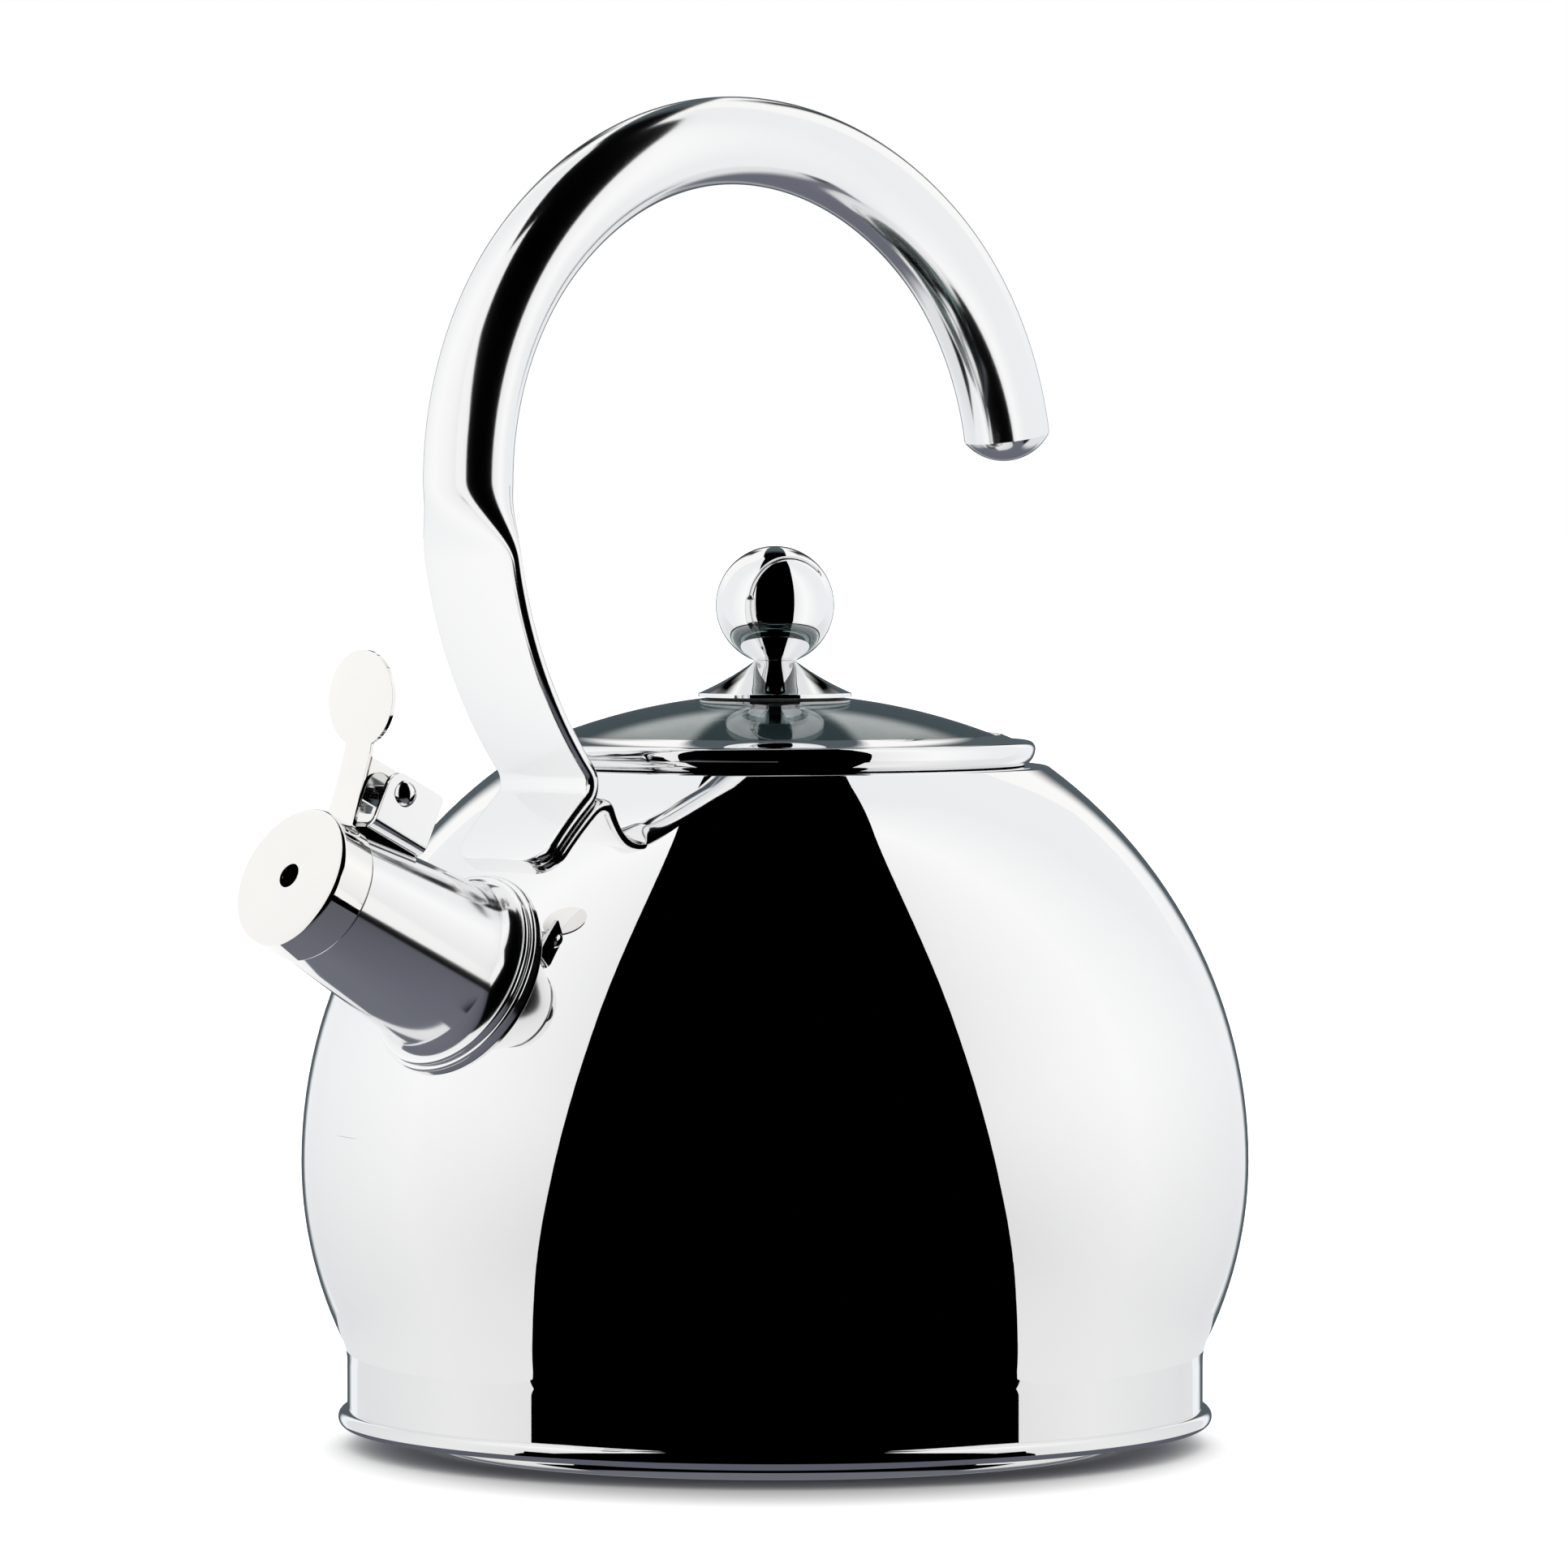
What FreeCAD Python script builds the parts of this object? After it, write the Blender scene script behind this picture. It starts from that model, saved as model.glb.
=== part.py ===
"""Stovetop whistling kettle: spun steel body, glass lid, flip-up whistle cap and one-sided hook handle.

Millimetres, +Z up. The origin is on the body's axis where the base stands, and the spout points to -X.
Round pieces of the body and lid are turned about Z. Pieces of the spout are drawn in the spout's own
frame: X runs inward from the whistle's face along the spout's axis, Z is up from that axis.
"""
import FreeCAD
import Part
import math
import os

from FreeCAD import Placement, Rotation, Vector

# Body: a bulging shell of two arcs over a short upright wall, with a flat ledge round the mouth
BODY_RADIUS = 100.0
BULGE_HEIGHT = 60.0
UPPER_ARC = 103.0
LOWER_ARC = 86.0
WALL_INSET = 9.6
WAIST_FILLET = 12.0
SHELL_WALL = 0.8
LEDGE_RISE = 83.4
LEDGE_FILLET = 2.4
LEDGE_WIDTH = 7.3
NECK_BEND = 1.6
NECK_DEPTH = 6.0

# Base: the pan's rim is rolled round the shell, and a capsule of aluminium sits under it
BASE_HEIGHT = 4.2
PAN_SHEET = 0.8
BEAD_RADIUS = 1.9
CAPSULE_INSET = 15.4
CAPSULE_CORNER = 3.0
CAPSULE_SHEET = 0.6

# Spout: a tapered tube set on the body's side, with a stepped nose under the whistle cap
SPOUT_ANGLE = 25.5
SPOUT_LENGTH = 49.2
SPOUT_TIP_STEP = 0.4
SPOUT_TAPER = 0.095
SPOUT_SHEET = 0.8
NOSE_CLEARANCE = 1.5
COLLAR_WIDTH = 3.4
COLLAR_RISE = 5.4
COLLAR_BEAD = 0.8
COLLAR_FLARE = 5.0

# Whistle: a cup over the nose, a holed plate inside it and a thumb lever welded on top
CAP_RADIUS = 15.0
CAP_BAND = 8.7
CAP_SHEET = 0.8
CAP_CORNER = 1.2
CAP_HOLE_RADIUS = 2.55
CAP_GAP = 0.3
PLATE_SETBACK = 3.2
PLATE_SHEET = 0.7
PLATE_HOLE_RADIUS = 2.0
LEVER_SHEET = 1.0
LEVER_WIDTH = 8.0
LEVER_INSET = 0.4
LEVER_LEAN = 7.5
LEVER_NECK_RISE = 5.7
LEVER_HEAD_LEAN = 21.5
LEVER_HEAD_RADIUS = 9.9
LEVER_HEAD_RISE = 10.3
LEVER_EAR_RADIUS = 4.4

# Hinge: a channel bracket on top of the spout, its riveted pin and a torsion spring
HINGE_RISE = 9.9
HINGE_INSET = 5.0
BRACKET_GAP = 1.3
BRACKET_LENGTH = 15.0
BRACKET_WIDTH = 15.8
BRACKET_CREST = 3.6
BRACKET_LIFT = 0.5
BRACKET_SHEET = 1.2
BRACKET_BEND = 2.6
BRACKET_CORNER = 1.2
PIN_RADIUS = 1.5
PIN_HEAD_RADIUS = 2.75
PIN_HEAD_RISE = 1.9
PIN_CLEARANCE = 0.05
SPRING_WIRE = 0.7
SPRING_PLAY = 0.6
SPRING_GAP = 0.5
SPRING_TURN_COUNT = 3
SPRING_START = 30.0
SPRING_SPAN_COUNT = 4

# Handle: a round tube bent to an open hook, pressed flat below into a strap with a welded foot
HANDLE_RADIUS = 9.2
HANDLE_WALL = 1.2
HOOK_RISE = 131.3
HOOK_INSET = 13.6
HOOK_FRONT_SPAN = 75.8
HOOK_FRONT_DROP = 71.5
HOOK_BACK_SPAN = 79.7
HOOK_BACK_DROP = 62.0
HOOK_BACK_TURN = 80.0
STRAP_ARC = 93.0
STRAP_WIDTH = 28.6
STRAP_THICK = 3.7
FLATTEN_ANGLE = 10.0
FLATTEN_STEP_COUNT = 4
OVAL_POWER = 1.5
FOOT_BEND = 5.0
FOOT_SINK = 1.3
FOOT_GAP = 3.15
FOOT_CORNER = 5.5
TIP_RISE = 5.0
TIP_PLUG = 8.0

# Lid: domed glass bedded in a steel rim that drops into the mouth, with a ball knob screwed through
GLASS_ARC = 128.0
GLASS_THICK = 3.0
GLASS_OVERLAP = 0.7
GASKET_BED = 0.8
GASKET_SIDE = 1.1
RIM_SHEET = 0.8
RIM_LIP = 2.2
RIM_FOOT = 3.3
RIM_FLARE = 2.3
RIM_WIDEST = 3.6
RIM_ROUND = 1.6
PLUG_CLEARANCE = 0.6
PLUG_DEPTH = 4.8
KNOB_RADIUS = 12.5
KNOB_RISE = 18.7
KNOB_WALL = 1.2
KNOB_NECK_RADIUS = 4.3
KNOB_BOSS_WALL = 2.0
SKIRT_RADIUS = 16.2
SKIRT_EDGE = 0.9
SKIRT_GAP = 0.4
SKIRT_CURVE = 60.0
SKIRT_SEAT = 7.4
SKIRT_SHEET = 0.8
KNOB_GASKET_INSET = 1.8
SCREW_RADIUS = 2.0
SCREW_GRIP = 9.6
SCREW_HEAD_RADIUS = 4.0
SCREW_HEAD_HEIGHT = 2.2
GLASS_HOLE_CLEARANCE = 1.0
WASHER_RADIUS = 7.5
WASHER_THICK = 1.0

ORIGIN = Vector(0, 0, 0)
ALONG_X = Vector(1, 0, 0)
ALONG_Y = Vector(0, 1, 0)
ALONG_Z = Vector(0, 0, 1)
FULL_TURN = 360
QUARTER_TURN = 90
SAME_POINT = 1e-6

# Places on the body that follow from its sizes, as (radius, height) pairs and plain numbers
WALL_RADIUS = BODY_RADIUS - WALL_INSET
UPPER_CENTRE = (BODY_RADIUS - UPPER_ARC, BULGE_HEIGHT)
LOWER_CENTRE = (BODY_RADIUS - LOWER_ARC, BULGE_HEIGHT)
LEDGE_HEIGHT = BULGE_HEIGHT + LEDGE_RISE
LEDGE_REACH = math.sqrt((UPPER_ARC - LEDGE_FILLET) ** 2 - (LEDGE_RISE - LEDGE_FILLET) ** 2)
LEDGE_CENTRE = (UPPER_CENTRE[0] + LEDGE_REACH, LEDGE_HEIGHT - LEDGE_FILLET)
MOUTH_RADIUS = LEDGE_CENTRE[0] - LEDGE_WIDTH
NECK_FOOT = LEDGE_HEIGHT - NECK_DEPTH
CAPSULE_RADIUS = WALL_RADIUS - CAPSULE_INSET

# Places along the spout, measured inward from the whistle's face, and heights above its axis
SPOUT_REACH = BODY_RADIUS + SPOUT_LENGTH
SPOUT_TURN = math.radians(SPOUT_ANGLE)
SPOUT_FRAME = Placement(
    Vector(-SPOUT_REACH * math.cos(SPOUT_TURN), 0, BULGE_HEIGHT + SPOUT_REACH * math.sin(SPOUT_TURN)),
    Rotation(ALONG_Y, SPOUT_ANGLE),
)
PLATE_BACK = PLATE_SETBACK + PLATE_SHEET
NOSE_START = PLATE_BACK + CAP_GAP
NOSE_RADIUS = CAP_RADIUS - CAP_SHEET - NOSE_CLEARANCE
TUBE_START = CAP_BAND + CAP_GAP
TUBE_TIP_RADIUS = CAP_RADIUS - SPOUT_TIP_STEP
COLLAR_FRONT = SPOUT_LENGTH - COLLAR_RISE
BRACKET_FRONT = CAP_BAND + BRACKET_GAP
BRACKET_BACK = BRACKET_FRONT + BRACKET_LENGTH
HINGE_SETBACK = BRACKET_FRONT + HINGE_INSET
HINGE_HEIGHT = CAP_RADIUS + HINGE_RISE
BRACKET_TOP = HINGE_HEIGHT + BRACKET_CREST
BRACKET_SEAT = TUBE_TIP_RADIUS + SPOUT_TAPER * (BRACKET_FRONT - TUBE_START) + BRACKET_LIFT
PIN_POINT = (HINGE_SETBACK, HINGE_HEIGHT)
LEVER_FOOT = CAP_BAND - LEVER_INSET
LEVER_NECK_HEIGHT = HINGE_HEIGHT + LEVER_NECK_RISE
SPRING_RADIUS = PIN_RADIUS + SPRING_PLAY + SPRING_WIRE / 2
SPRING_PITCH = SPRING_WIRE + SPRING_GAP
SPRING_FIRST = math.radians(SPRING_START)
SPRING_LAST = math.radians(FULL_TURN * SPRING_TURN_COUNT + QUARTER_TURN)
COLLAR_RADIUS = TUBE_TIP_RADIUS + SPOUT_TAPER * (SPOUT_LENGTH - TUBE_START) + COLLAR_WIDTH
SPOUT_DEEP = SPOUT_LENGTH + COLLAR_RADIUS

# Places of the handle, with the collar's edge and the foot's end as angles about the foot's centre
HOOK_TOP = LEDGE_HEIGHT + HOOK_RISE
HOOK_FRONT = HOOK_INSET - BODY_RADIUS
HOOK_CROWN = (HOOK_FRONT + HOOK_FRONT_SPAN, HOOK_TOP)
STRAP_CENTRE = (HOOK_FRONT + STRAP_ARC, HOOK_TOP - HOOK_FRONT_DROP)
FOOT_CENTRE = (-UPPER_CENTRE[0], BULGE_HEIGHT)
FOOT_ARC = UPPER_ARC + STRAP_THICK / 2 - FOOT_SINK
COLLAR_OFFSET = COLLAR_RADIUS - FOOT_CENTRE[0] * math.sin(SPOUT_TURN)
COLLAR_EDGE = math.pi - SPOUT_TURN - math.asin(COLLAR_OFFSET / UPPER_ARC)
FOOT_END = COLLAR_EDGE - FOOT_GAP / UPPER_ARC

# Places of the lid
LID_SEAT = LEDGE_HEIGHT + RIM_SHEET
PLUG_RADIUS = MOUTH_RADIUS - PLUG_CLEARANCE
PLUG_BORE = PLUG_RADIUS - RIM_SHEET
GLASS_RADIUS = MOUTH_RADIUS + GLASS_OVERLAP
GLASS_SIDE = GLASS_RADIUS + GASKET_SIDE
RIM_FOOT_RADIUS = MOUTH_RADIUS + RIM_FOOT
RIM_RADIUS = RIM_FOOT_RADIUS + RIM_FLARE
RIM_LIP_RADIUS = GLASS_RADIUS - RIM_LIP
DOME_HEIGHT = LID_SEAT + GASKET_BED - math.sqrt((GLASS_ARC - GLASS_THICK) ** 2 - GLASS_RADIUS ** 2)
GLASS_TOP = DOME_HEIGHT + GLASS_ARC
KNOB_CENTRE = GLASS_TOP + KNOB_RISE
KNOB_SEAT = KNOB_CENTRE - math.sqrt(KNOB_RADIUS ** 2 - KNOB_NECK_RADIUS ** 2)


# Helpers for outlines in the XZ plane


def flat(point):
    """Place a pair of numbers in the XZ plane."""
    return Vector(point[0], 0, point[1])


def polar(centre, radius, angle):
    """Point at a radius and an angle, in radians from +X, about a centre."""
    return (centre[0] + radius * math.cos(angle), centre[1] + radius * math.sin(angle))


def towards(centre, point, distance):
    """Point at a distance from the centre, on the way to another point."""
    across = point[0] - centre[0]
    along = point[1] - centre[1]
    scale = distance / math.hypot(across, along)
    return (centre[0] + across * scale, centre[1] + along * scale)


def arc_edge(centre, start, end):
    """Arc of less than half a circle between two points about a centre."""
    middle = ((start[0] + end[0]) / 2, (start[1] + end[1]) / 2)
    radius = math.hypot(start[0] - centre[0], start[1] - centre[1])
    return Part.Arc(flat(start), flat(towards(centre, middle, radius)), flat(end)).toShape()


def arc_centre(start, end, radius):
    """Centre of an arc of a given radius, to the left of the way from start to end."""
    middle = ((start[0] + end[0]) / 2, (start[1] + end[1]) / 2)
    half = math.dist(start, end) / 2
    share = math.sqrt(radius ** 2 - half ** 2) / (2 * half)
    return (middle[0] - (end[1] - start[1]) * share, middle[1] + (end[0] - start[0]) * share)


def outline(start, *steps):
    """Closed face in the XZ plane. A step is a point to run straight to, or (centre, point) for an arc."""
    edges = []
    here = start
    for step in (*steps, start):
        bent = isinstance(step[0], tuple)
        there = step[1] if bent else step
        if math.dist(here, there) > SAME_POINT:
            edges.append(arc_edge(step[0], here, there) if bent else Part.makeLine(flat(here), flat(there)))
        here = there
    return Part.Face(Part.Wire(edges))


def turned(face):
    """Solid of revolution about the body's axis."""
    return face.revolve(ORIGIN, ALONG_Z, FULL_TURN)


def spun(face):
    """Solid of revolution about the X axis of a spout piece's own frame."""
    return face.revolve(ORIGIN, ALONG_X, FULL_TURN)


def slab(face, low, high):
    """Extrude a face of the XZ plane between two places along Y."""
    return face.translated(Vector(0, low, 0)).extrude(Vector(0, high - low, 0))


def on_spout(shape):
    """Move a piece from the spout's frame to the kettle's."""
    placed = shape.copy()
    placed.Placement = SPOUT_FRAME.multiply(shape.Placement)
    return placed


def rod(point, radius, low, high):
    """Round bar along Y through a point of the XZ plane."""
    return Part.makeCylinder(radius, high - low, Vector(point[0], low, point[1]), ALONG_Y)


# Body and base


def body_solid(inset):
    """Solid inside the shell's surface, set in by a depth and closed at the foot of the neck."""
    wall = WALL_RADIUS - inset
    waist_reach = WALL_RADIUS + WAIST_FILLET - LOWER_CENTRE[0]
    waist_drop = math.sqrt((LOWER_ARC + WAIST_FILLET) ** 2 - waist_reach ** 2)
    waist_centre = (WALL_RADIUS + WAIST_FILLET, BULGE_HEIGHT - waist_drop)
    waist_high = towards(LOWER_CENTRE, waist_centre, LOWER_ARC - inset)
    ledge_low = towards(UPPER_CENTRE, LEDGE_CENTRE, UPPER_ARC - inset)
    ledge_top = LEDGE_HEIGHT - inset
    neck_centre = (MOUTH_RADIUS + NECK_BEND, LEDGE_HEIGHT - NECK_BEND)
    neck = MOUTH_RADIUS + inset
    foot = BASE_HEIGHT + PAN_SHEET
    return turned(outline(
        (0, foot),
        (wall, foot),
        (wall, waist_centre[1]),
        (waist_centre, waist_high),
        (LOWER_CENTRE, (BODY_RADIUS - inset, BULGE_HEIGHT)),
        (UPPER_CENTRE, ledge_low),
        (LEDGE_CENTRE, (LEDGE_CENTRE[0], ledge_top)),
        (neck_centre[0], ledge_top),
        (neck_centre, (neck, neck_centre[1])),
        (neck, NECK_FOOT),
        (0, NECK_FOOT),
    ))


def make_body_shell(envelope, bore):
    return envelope.cut(body_solid(SHELL_WALL)).cut(bore)


def make_base_pan():
    top = BASE_HEIGHT + PAN_SHEET
    bead_centre = (WALL_RADIUS, BASE_HEIGHT + BEAD_RADIUS)
    return turned(outline(
        (0, BASE_HEIGHT),
        (WALL_RADIUS, BASE_HEIGHT),
        (bead_centre, (WALL_RADIUS + BEAD_RADIUS, bead_centre[1])),
        (bead_centre, (WALL_RADIUS, BASE_HEIGHT + 2 * BEAD_RADIUS)),
        (WALL_RADIUS, top),
        (0, top),
    ))


def capsule_solid(inset):
    """Round-cornered disc under the pan, set in by a depth from its outside."""
    radius = CAPSULE_RADIUS - inset
    corner_centre = (CAPSULE_RADIUS - CAPSULE_CORNER, CAPSULE_CORNER)
    return turned(outline(
        (0, inset),
        (corner_centre[0], inset),
        (corner_centre, (radius, CAPSULE_CORNER)),
        (radius, BASE_HEIGHT),
        (0, BASE_HEIGHT),
    ))


# Spout and hinge


def tube_radius(setback):
    """Outside radius of the tapered tube at a place along the spout."""
    return TUBE_TIP_RADIUS + SPOUT_TAPER * (setback - TUBE_START)


def tube_solid(inset, front):
    """Filled spout tube with its nose, set in by a sheet's depth and starting at a given front."""
    step = TUBE_START + inset
    return spun(outline(
        (front, 0),
        (front, NOSE_RADIUS - inset),
        (step, NOSE_RADIUS - inset),
        (step, tube_radius(step) - inset),
        (SPOUT_DEEP, tube_radius(SPOUT_DEEP) - inset),
        (SPOUT_DEEP, 0),
    ))


def make_spout_collar(envelope):
    """Ring round the foot of the spout: a hollow flare off the tube, then two rolled beads on the body."""
    start = (COLLAR_FRONT, tube_radius(COLLAR_FRONT))
    outer_bead = (SPOUT_LENGTH + COLLAR_BEAD, COLLAR_RADIUS - COLLAR_BEAD)
    inner_bead = (outer_bead[0] - 2 * COLLAR_BEAD, outer_bead[1] - COLLAR_BEAD)
    flare_end = (inner_bead[0] - COLLAR_BEAD, inner_bead[1])
    flare_centre = arc_centre(start, flare_end, COLLAR_FLARE)
    step = (inner_bead[0], inner_bead[1] + COLLAR_BEAD)
    ring = spun(outline(
        start,
        (flare_centre, flare_end),
        (inner_bead, step),
        (outer_bead[0] - COLLAR_BEAD, outer_bead[1]),
        (outer_bead, (outer_bead[0], COLLAR_RADIUS)),
        (SPOUT_DEEP, COLLAR_RADIUS),
        (SPOUT_DEEP, tube_radius(SPOUT_DEEP)),
    ))
    return on_spout(ring).cut(envelope)


def make_hinge_bracket(tube):
    """Channel with rounded lower bends: two cheeks that hold the pin, on a web that sits on the tube."""
    front_round = BRACKET_TOP - HINGE_HEIGHT
    side = outline(
        (BRACKET_FRONT, BRACKET_SEAT),
        (BRACKET_FRONT, HINGE_HEIGHT),
        ((BRACKET_FRONT + front_round, HINGE_HEIGHT), (BRACKET_FRONT + front_round, BRACKET_TOP)),
        (BRACKET_BACK - BRACKET_CORNER, BRACKET_TOP),
        ((BRACKET_BACK - BRACKET_CORNER, BRACKET_TOP - BRACKET_CORNER),
         (BRACKET_BACK, BRACKET_TOP - BRACKET_CORNER)),
        (BRACKET_BACK, BRACKET_SEAT),
    )
    block = slab(side, -BRACKET_WIDTH / 2, BRACKET_WIDTH / 2)
    channel = block.common(channel_core(0)).cut(channel_core(BRACKET_SHEET))
    hole = rod(PIN_POINT, PIN_RADIUS, -BRACKET_WIDTH, BRACKET_WIDTH)
    return channel.cut(hole).cut(tube)


def channel_core(inset):
    """Bar with rounded lower edges that the channel's sheet is bent round, running along the spout."""
    half = BRACKET_WIDTH / 2 - inset
    bend = BRACKET_BEND - inset
    seat = BRACKET_SEAT + inset
    left = (-half + bend, seat + bend)
    right = (half - bend, seat + bend)
    top = 2 * BRACKET_TOP
    end = outline(
        (-half, top),
        (-half, left[1]),
        (left, (left[0], seat)),
        (right[0], seat),
        (right, (half, right[1])),
        (half, top),
    )
    bar = end.extrude(Vector(0, 2 * BRACKET_BACK, 0))
    bar.rotate(ORIGIN, ALONG_Z, -QUARTER_TURN)
    return bar


def make_hinge_pin():
    """Rivet: a plain shank with a domed head outside each cheek."""
    half = BRACKET_WIDTH / 2
    ball = (PIN_HEAD_RADIUS ** 2 + PIN_HEAD_RISE ** 2) / (2 * PIN_HEAD_RISE)
    dome_centre = (0, half + PIN_HEAD_RISE - ball)
    section = outline(
        (0, 0),
        (PIN_RADIUS, 0),
        (PIN_RADIUS, half),
        (PIN_HEAD_RADIUS, half),
        (dome_centre, (0, half + PIN_HEAD_RISE)),
    )
    upper = turned(section)
    lower = upper.mirror(ORIGIN, ALONG_Z)
    pin = upper.fuse(lower).removeSplitter()
    pin.rotate(ORIGIN, ALONG_X, QUARTER_TURN)
    return pin.translated(flat(PIN_POINT))


def spring_point(angle):
    """Point of the spring's helix round the pin at an angle in radians, centred between the ears."""
    sweep = SPRING_LAST - SPRING_FIRST
    share = (angle - SPRING_FIRST) / sweep - 0.5
    side = share * SPRING_PITCH * sweep / math.tau
    ring = polar(PIN_POINT, SPRING_RADIUS, angle)
    return Vector(ring[0], side, ring[1])


def spring_heading(angle):
    """Direction of the wire at an angle of the helix."""
    climb = SPRING_PITCH / math.tau
    heading = Vector(-SPRING_RADIUS * math.sin(angle), climb, SPRING_RADIUS * math.cos(angle))
    return heading.normalize()


def tangent_arc(start, corner, end):
    """Arc from start to end that touches the two lines through their common corner."""
    middle = (start + end) * 0.5
    half_chord = start.distanceToPoint(middle)
    rise = corner.distanceToPoint(middle)
    radius = half_chord * start.distanceToPoint(corner) / rise
    sagitta = radius - math.sqrt(radius ** 2 - half_chord ** 2)
    crown = middle + (corner - middle) * (sagitta / rise)
    return Part.Arc(start, crown, end).toShape()


def biarc(start, start_heading, end, end_heading):
    """Two arcs that leave and arrive along the given headings and meet smoothly."""
    chord = end - start
    spread = 2 * (1 - start_heading.dot(end_heading))
    along = chord.dot(start_heading + end_heading)
    reach = (math.sqrt(along ** 2 + spread * chord.dot(chord)) - along) / spread
    first = start + start_heading * reach
    second = end - end_heading * reach
    meeting = (first + second) * 0.5
    return [tangent_arc(start, first, meeting), tangent_arc(meeting, second, end)]


def lever_line(height):
    """Place along the spout of the lower lever sheet's middle at a height above the spout's axis."""
    return LEVER_FOOT - math.tan(math.radians(LEVER_LEAN)) * (height - CAP_RADIUS)


def make_hinge_spring():
    """Torsion spring: one leg on the bracket's web, three turns round the pin, one leg behind the lever."""
    first = SPRING_FIRST
    last = SPRING_LAST
    spans = SPRING_SPAN_COUNT * SPRING_TURN_COUNT + 1
    angles = [first + (last - first) * index / spans for index in range(spans + 1)]
    seat = BRACKET_SEAT + BRACKET_SHEET + SPRING_WIRE / 2
    low_heading = spring_heading(first)
    low_leg = (spring_point(first).z - seat) / low_heading.z
    high_heading = spring_heading(last)
    lever_back = lever_line(spring_point(last).z) + LEVER_SHEET / 2 + SPRING_WIRE / 2 + PIN_CLEARANCE
    high_leg = (spring_point(last).x - lever_back) / -high_heading.x
    edges = [Part.makeLine(spring_point(first) - low_heading * low_leg, spring_point(first))]
    for here, there in zip(angles, angles[1:]):
        edges += biarc(spring_point(here), spring_heading(here), spring_point(there), spring_heading(there))
    edges.append(Part.makeLine(spring_point(last), spring_point(last) + high_heading * high_leg))
    path = Part.Wire(edges)
    start = path.OrderedVertexes[0].Point
    section = Part.Wire(Part.Circle(start, low_heading, SPRING_WIRE / 2).toShape())
    pipe = Part.BRepOffsetAPI.MakePipeShell(path)
    pipe.add(section)
    pipe.build()
    pipe.makeSolid()
    print("spring: least gap between turns %.2f mm" % coil_gap(path))
    return pipe.shape()


def coil_gap(path):
    """Least clear distance between stretches of the spring's wire that lie over half a turn apart."""
    spacing = SPRING_WIRE / 4
    points = path.discretize(Distance=spacing)
    apart = int(math.pi * SPRING_RADIUS / spacing)
    gaps = [a.distanceToPoint(b) for index, a in enumerate(points) for b in points[index + apart:]]
    return min(gaps) - SPRING_WIRE


# Whistle


def make_whistle_cap():
    corner_centre = (CAP_CORNER, CAP_RADIUS - CAP_CORNER)
    inside = CAP_RADIUS - CAP_SHEET
    return spun(outline(
        (0, CAP_HOLE_RADIUS),
        (0, corner_centre[1]),
        (corner_centre, (CAP_CORNER, CAP_RADIUS)),
        (CAP_BAND, CAP_RADIUS),
        (CAP_BAND, inside),
        (CAP_SHEET, inside),
        (CAP_SHEET, CAP_HOLE_RADIUS),
    ))


def make_whistle_plate():
    inside = CAP_RADIUS - CAP_SHEET
    return spun(outline(
        (PLATE_SETBACK, PLATE_HOLE_RADIUS),
        (PLATE_SETBACK, inside),
        (PLATE_BACK, inside),
        (PLATE_BACK, PLATE_HOLE_RADIUS),
    ))


def lever_sheet(low, high, lean, foot):
    """Sheet across the spout that leans outward from a foot point, between two lengths up its slope."""
    sheet = Part.makeBox(LEVER_SHEET, 2 * CAP_RADIUS, high - low, Vector(-LEVER_SHEET / 2, -CAP_RADIUS, low))
    sheet.Placement = Placement(flat(foot), Rotation(ALONG_Y, -lean))
    return sheet


def make_thumb_lever():
    """One folded sheet: a strip on the cap's band, two ears back round the pin and a round head."""
    neck = (lever_line(LEVER_NECK_HEIGHT), LEVER_NECK_HEIGHT)
    lower_lean = math.radians(LEVER_LEAN)
    upper_lean = math.radians(LEVER_HEAD_LEAN)
    head = polar(neck, LEVER_HEAD_RISE, math.pi / 2 + upper_lean)
    lower_length = (LEVER_NECK_HEIGHT - CAP_RADIUS) / math.cos(lower_lean)
    strip = lever_sheet(-lower_length - CAP_SHEET, LEVER_SHEET / 2, LEVER_LEAN, neck)
    crest = lever_sheet(-LEVER_SHEET / 2, LEVER_HEAD_RISE + 2 * LEVER_HEAD_RADIUS, LEVER_HEAD_LEAN, neck)
    band = slab_box(LEVER_WIDTH, head[1] - CAP_RADIUS, CAP_RADIUS - CAP_SHEET)
    disc = Part.makeCylinder(LEVER_HEAD_RADIUS, 2 * LEVER_SHEET, Vector(-LEVER_SHEET, 0, 0), ALONG_X)
    disc.Placement = Placement(flat(head), Rotation(ALONG_Y, -LEVER_HEAD_LEAN)).multiply(disc.Placement)
    face = strip.fuse(crest).common(band).fuse(crest.common(disc))
    ear_top = HINGE_HEIGHT + LEVER_EAR_RADIUS
    ear_low = HINGE_HEIGHT - LEVER_EAR_RADIUS
    ear = outline(
        (lever_line(ear_low), ear_low),
        (HINGE_SETBACK, ear_low),
        (PIN_POINT, (HINGE_SETBACK + LEVER_EAR_RADIUS, HINGE_HEIGHT)),
        (PIN_POINT, (HINGE_SETBACK, ear_top)),
        (lever_line(ear_top), ear_top),
    )
    outer = LEVER_WIDTH / 2
    inner = outer - LEVER_SHEET
    near_ear = slab(ear, -outer, -inner)
    far_ear = slab(ear, inner, outer)
    hole = rod(PIN_POINT, PIN_RADIUS + PIN_CLEARANCE, -BRACKET_WIDTH, BRACKET_WIDTH)
    cap = Part.makeCylinder(CAP_RADIUS, SPOUT_LENGTH, ORIGIN, ALONG_X)
    return face.fuse([near_ear, far_ear]).cut(hole).cut(cap).removeSplitter()


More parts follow.
